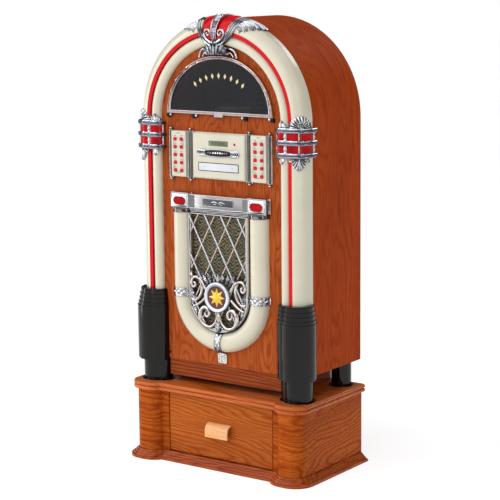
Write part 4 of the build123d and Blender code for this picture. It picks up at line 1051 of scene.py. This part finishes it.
# ---------------------------------------------------------------- speaker header
HEAD_LOW, HEAD_HIGH, HEAD_PROUD = 715.0, 756.0, 20.0
BAR_LOW, BAR_HIGH = 717.0, 752.0
HEAD_INNER, HEAD_OUTER, LAMP_Z = 99.0, 157.5, 734.0
COLLAR = ((-0.5, 28.2), (0, 30.2), (1.5, 31.0), (3, 30.2), (9, 30.0), (10, 31.0), (12, 31.0), (12.3, 28.2))
header = Piece("header_chrome", slot="chrome", replaces=("speaker_header",))
lamps = Piece("header_lamps", slot="red_plastic")
for side in (-1, 1):
    xs = sorted((side * HEAD_INNER, side * HEAD_OUTER))
    header.loft(slab(xs[0] + 1, xs[1] - 1, HEAD_LOW, HEAD_HIGH, 0.2, HEAD_PROUD - 1.4, 1.0, 0.8), CHROME)
    plate = slab(xs[0] + 4, xs[1] - 4, HEAD_LOW + 3, HEAD_HIGH - 3, HEAD_PROUD - 2, HEAD_PROUD, 3.0, 1.0)
    header.loft(plate, SATIN)
    base = sorted((side * (HEAD_INNER - 3), side * (HEAD_OUTER + 5.5)))
    header.loft(slab(*base, HEAD_LOW, HEAD_HIGH, 0.1, 4, 1.0, 0.8), CHROME)
    for x in xs:
        for k in range(7):
            z = HEAD_LOW + 4.4 + 5.4 * k
            header.loft(rod([front(x, z, v) for v in (2, HEAD_PROUD - 3)], 2.3, 10), CHROME)
        for v in (3.5, HEAD_PROUD - 2.0):
            header.loft(rod([front(x, z, v) for z in (HEAD_LOW + 0.5, HEAD_HIGH - 0.5)], 1.3, 8), CHROME)
    for z in (HEAD_LOW + 1, HEAD_HIGH - 1):
        header.loft(rod([front(x, z, HEAD_PROUD - 1.6) for x in xs], 1.3, 8), CHROME)
    lamp_x = side * TUBE_X
    pill = []
    for k in range(48):
        across, rise = math.cos(TAU * k / 48), math.sin(TAU * k / 48)
        x = lamp_x + 10 * (1 if across > 0 else -1) + 10.8 * across
        pill.append(front(x, LAMP_Z + 10.8 * rise, HEAD_PROUD))
    header.loft(rod(pill, 1.0, 8, closed=True), CHROME, loop=True)
    lamp = (lamp_x - 20, lamp_x + 20, LAMP_Z - 10, LAMP_Z + 10, HEAD_PROUD - 4, HEAD_PROUD + 1.6)
    lamps.loft(slab(*lamp, 9.9, 1.2, crown=0.8), RED_LAMP)
    rings = []
    for k in range(41):
        t = math.pi * k / 40
        out, ahead = math.cos(t), math.sin(t)
        rings.append([front(lamp_x + r * out, TUBE_TOP + z, 0.3 + r * ahead) for z, r in COLLAR])
    header.loft(rings, DARK_CHROME)
header.loft(slab(-HEAD_INNER, HEAD_INNER, BAR_LOW, BAR_HIGH, 0.2, 16.5, 0.5, 0.8), BRUSHED)
for side in (-1, 1):
    # upright flutes where the bar meets the block
    for k in range(5):
        x = side * (HEAD_INNER - 2.5 - 3.6 * k)
        header.loft(rod([front(x, z, 16.0) for z in (BAR_LOW + 1.5, BAR_HIGH - 1.5)], 2.0, 8), BRUSHED)
# recess between the bar and the grille, with four drooping cords
header.loft(slab(-HEAD_INNER, HEAD_INNER, TUBE_TOP + 0.3, BAR_LOW + 0.2, 0.3, 8, 0.3, 0.4), DARK_CHROME)
for k in range(4):
    sag = []
    for x in range(-98, 99, 4):
        sag.append(front(x, TUBE_TOP + 2.2 + 3.9 * k + 0.7 * math.sin(x / 16 + k), 9 + 2.2 * k))
    header.loft(rod(sag, 2.0, 10), CHROME)
header.loft(rod([front(x, BAR_HIGH + 0.5, 15.5) for x in (-HEAD_INNER, HEAD_INNER)], 1.6, 8), CHROME)
frame_line = [front(x, z, 16.9) for x, z in ((-51, 725), (51, 725), (51, 745), (-51, 745))]
for a, b in zip(frame_line, frame_line[1:] + frame_line[:1]):
    header.loft(rod([a, b], 0.9, 8), CHROME)
header.done()
lamps.done()
screens = Piece("screens", slot="display_plastic", replaces=("display_lenses",))
screens.loft(slab(-50, 50, 725.5, 744.5, 14.6, 17.2, 1.0, 0.5), DISPLAY)
screens.loft(slab(-32, 32, 888, 902, 10.6, 12.6, 1.0, 0.5), LCD)
for k in range(5):
    screens.loft(slab(-21 + 9.2 * k, -16 + 9.2 * k, 891, 899, 12.4, 12.8, 0.8, 0.2), LCD_MARK)
screens.done()
mark = Piece("header_mark", slot="chrome")
for side in (-1, 1):
    on = lambda a, b, h, s=side: front(s * a, b, 17 + h)
    mark.loft(leaf(on, ((3, 735), (12, 737.5), (26, 733)), 1.5, 0.8, ribs=1, along=16, across=6), CHROME)
    mark.loft(leaf(on, ((4, 733), (10, 731.5), (18, 730)), 1.0, 0.8, ribs=1, along=12, across=6), CHROME)
mark.loft(ball(front(0, 734.5, 17.2), 1.8, 10, 6), CHROME)
mark.done()


# ---------------------------------------------------------------- small marks on the control panel
BUTTON_Z, BUTTON_STEP = 901, 21.3
labels = Piece("button_labels", slot="black_plastic")
for side in (-1, 1):
    spots = [(x, BUTTON_Z - BUTTON_STEP * row + 9.2, 3.2) for x in (122.4, 143.6) for row in range(5)]
    for x, z, half in [*spots, (133, 917.7, 5)]:
        mark_box = (side * x - half, side * x + half, z - 0.7, z + 0.7, 13.8, 14.25)
        labels.loft(slab(*mark_box, 0.3, 0.1), LABEL)
labels.done()
led = Piece("panel_led", slot="red_plastic")
bulb = ((0, 3.6), (0.8, 3.6), (1.6, 3.0), (2.4, 1.6), (2.7, 0))
led.loft(turned(front(54, 895, 11.8), FORWARDS, bulb, 18), RED_LAMP)
led.done()
tray_marks = Piece("tray_marks", body="disc_tray", slot="black_plastic")
for x in (-46, 46):
    tray_marks.loft(turned(front(x, 831, 12.8), FORWARDS, ((0, 1.3), (0.5, 1.3), (0.6, 0)), 12), LABEL)
tray_marks.done()


# ---------------------------------------------------------------- window door
edging = Piece("window_edging", body="window_door", slot="chrome")
# two twisted cords over the arch of the window, then two straight rods along its foot
for wide, tall, base, v, size in ((171.2, 153.6, 972.5, 8.0, 2.4), (165.0, 144.5, 977.5, 7.6, 1.8)):
    turns = [math.pi * k / 160 for k in range(161)]
    bow = [front(wide * math.cos(t), base + tall * math.sin(t), v) for t in turns]
    edging.loft(rod(bow, size, 8, section=rope), ROSE_CHROME)
for z, v, size in ((971.8, 8.0, 1.9), (976.5, 7.8, 1.5)):
    edging.loft(rod([front(x, z, v) for x in (-171, 171)], size, 10), ROSE_CHROME)
edging.done()
ornaments = Piece("glass_ornaments", body="window_door", slot="chrome")
# nine lozenges on an arc, every other one a little shorter
ARC_R, ARC_CENTRE = 140.5, 934.5
for k in range(-4, 5):
    turn = math.radians(34.0) * k / 4
    spoke = Vector((math.sin(turn), 0, math.cos(turn)))
    tall = 8.5 - 1.0 * (k % 2)
    side_way = Vector((spoke.z, 0, -spoke.x))
    spot = front(0, ARC_CENTRE, 5.55) + spoke * ARC_R
    shape = [(0, -tall), (2.2, -3.4), (4.6, 0), (2.2, 3.4), (0, tall), (-2.2, 3.4), (-4.6, 0), (-2.2, -3.4)]
    rings = []
    for s, d in ((1, 0), (1, 0.5), (0.5, 0.9)):
        rings.append([spot + side_way * (a * s) + spoke * (b * s) + Vector((0, -d, 0)) for a, b in shape])
    ornaments.loft(rings, PALE_GOLD)
ornaments.done()


# ---------------------------------------------------------------- record player and fixings
MAT_Z = 989.02
mat = Piece("platter_mat", body="platter", slot="black_plastic")
low, high = corners("platter")
hub_x, hub_y = (low.x + high.x) / 2, (low.y + high.y) / 2
grooves = [(2.2 + 0.5 * (k % 2), 95.5 - 1.9 * k) for k in range(34)]
ridges = [(0.0, 0), (0.0, 96)] + grooves + [(2.0, 28), (2.0, 0)]
mat.loft(turned((hub_x, hub_y, MAT_Z), UPWARDS, ridges, 72), VINYL)
mat.done()
ARM_X = 150
shell = Piece("headshell_cover", body="tonearm", slot="red_plastic")
rings = []
for y, half, drop in ((-78, 5, 1.0), (-76, 7.6, 0.4), (-62, 8.8, 0), (-50, 8.4, 0.2), (-47, 6.5, 1.0)):
    outline = [(-half, 1000.2), (-half, 1007), (-half + 2, 1010 - drop)]
    outline += [(-x, z) for x, z in outline[::-1]]
    rings.append([(ARM_X + x, y, z) for x, z in outline])
shell.loft(rings, RED)
shell.done()
screws = Piece("socket_screws", slot="black_metal")
SCREW = ((-3, 3.4), (3.2, 3.4), (4.0, 2.6), (4.1, 1.2), (3.0, 1.0), (3.0, 0))
for side in (-1, 1):
    for x, z in ((200, 458), (186, 302)):
        screws.loft(turned(front(side * x, z, 3), (-side, 0, 0), SCREW, 12), BLACK_METAL)
screws.done()


# ---------------------------------------------------------------- studio
def studio():
    """Pale floor that glows a little, soft daylight from the front left, and dark and light bands around."""
    floor = bmesh.new()
    bmesh.ops.create_grid(floor, x_segments=4, y_segments=4, size=90)
    mesh = bpy.data.meshes.new("floor")
    floor.to_mesh(mesh)
    floor.free()
    ground = bpy.data.objects.new("floor", mesh)
    bpy.context.scene.collection.objects.link(ground)
    f = Finish("floor_paper", Roughness=0.9, Specular_IOR_Level=0.0)
    paper = f.mix(f.range(f.noise(f.place(), 3, 4), 0, 1), (0.42, 0.42, 0.42), (0.38, 0.38, 0.38))
    f.set(Base_Color=paper, Emission_Color=(1, 1, 1), Emission_Strength=0.76)
    mesh.materials.append(f.material)

    world = bpy.data.worlds.new("studio")
    world.use_nodes = True
    bpy.context.scene.world = world
    tree = world.node_tree
    new, link = tree.nodes.new, tree.links.new
    coords = new("ShaderNodeTexCoord")
    parts = new("ShaderNodeSeparateXYZ")
    link(coords.outputs["Generated"], parts.inputs[0])
    sky = new("ShaderNodeValToRGB")
    stops = sky.color_ramp.elements
    for position, level in (
        (0.0, 0.9), (0.05, 0.55), (0.12, 0.08), (0.26, 0.14), (0.36, 0.75), (0.5, 0.12), (0.7, 0.16),
        (1.0, 0.7),
    ):
        stop = stops[0] if position == 0 else stops[-1] if position == 1 else stops.new(position)
        stop.position = position
        stop.color = (level, level, level, 1)
    link(parts.outputs[2], sky.inputs["Fac"])
    back = tree.nodes["Background"]
    link(sky.outputs["Color"], back.inputs["Color"])
    back.inputs["Strength"].default_value = 0.5

    centre = Vector((0, 0, 0.62))
    for name, spot, size, power in (
        ("key", (-1.2, -3.6, 3.0), (1.2, 1.2), 10),
        ("fill", (3.4, -1.2, 2.3), (0.3, 1.9), 4),
        ("rim", (0.4, 3.0, 2.8), (1.6, 0.8), 14),
        ("top", (0.9, 0.6, 3.4), (2.2, 2.2), 15),
        ("strip_left", (-1.75, -0.95, 1.05), (0.24, 2.0), 8),
        ("strip_right", (1.95, -1.25, 1.3), (0.2, 1.8), 4.5),
    ):
        data = bpy.data.lights.new(name, "AREA")
        data.shape, data.size, data.size_y, data.energy = "RECTANGLE", *size, power
        lamp = bpy.data.objects.new(name, data)
        lamp.location = spot
        aim = Vector((0, 0, spot[2])) if name.startswith("strip") else centre
        lamp.rotation_euler = (aim - Vector(spot)).to_track_quat("-Z", "Y").to_euler()
        lamp.visible_camera = False
        bpy.context.scene.collection.objects.link(lamp)
    sun = bpy.data.lights.new("daylight", "SUN")
    sun.energy, sun.angle = 2.2, math.radians(86)
    lamp = bpy.data.objects.new("daylight", sun)
    lamp.rotation_euler = Vector((0.34, 0.74, -0.62)).to_track_quat("-Z", "Y").to_euler()
    bpy.context.scene.collection.objects.link(lamp)
    bpy.context.scene.view_settings.view_transform = "Standard"


def camera():
    """A long lens to the right of the front and a little above, as in the photograph."""
    data = bpy.data.cameras.new("camera")
    data.sensor_width, data.lens = 36, 120.46
    eye = bpy.data.objects.new("camera", data)
    spot, target, roll = Vector((2.65709, -3.67469, 1.37066)), Vector((0.09274, -0.101, 0.61436)), -0.01
    eye.location = spot
    turn = (target - spot).to_track_quat("-Z", "Y").to_matrix()
    eye.rotation_euler = (turn @ Matrix.Rotation(roll, 3, "Z")).to_euler()
    data.clip_start, data.clip_end = 0.05, 400
    bpy.context.scene.collection.objects.link(eye)
    bpy.context.scene.camera = eye


studio()
camera()

bpy.context.view_layer.update()
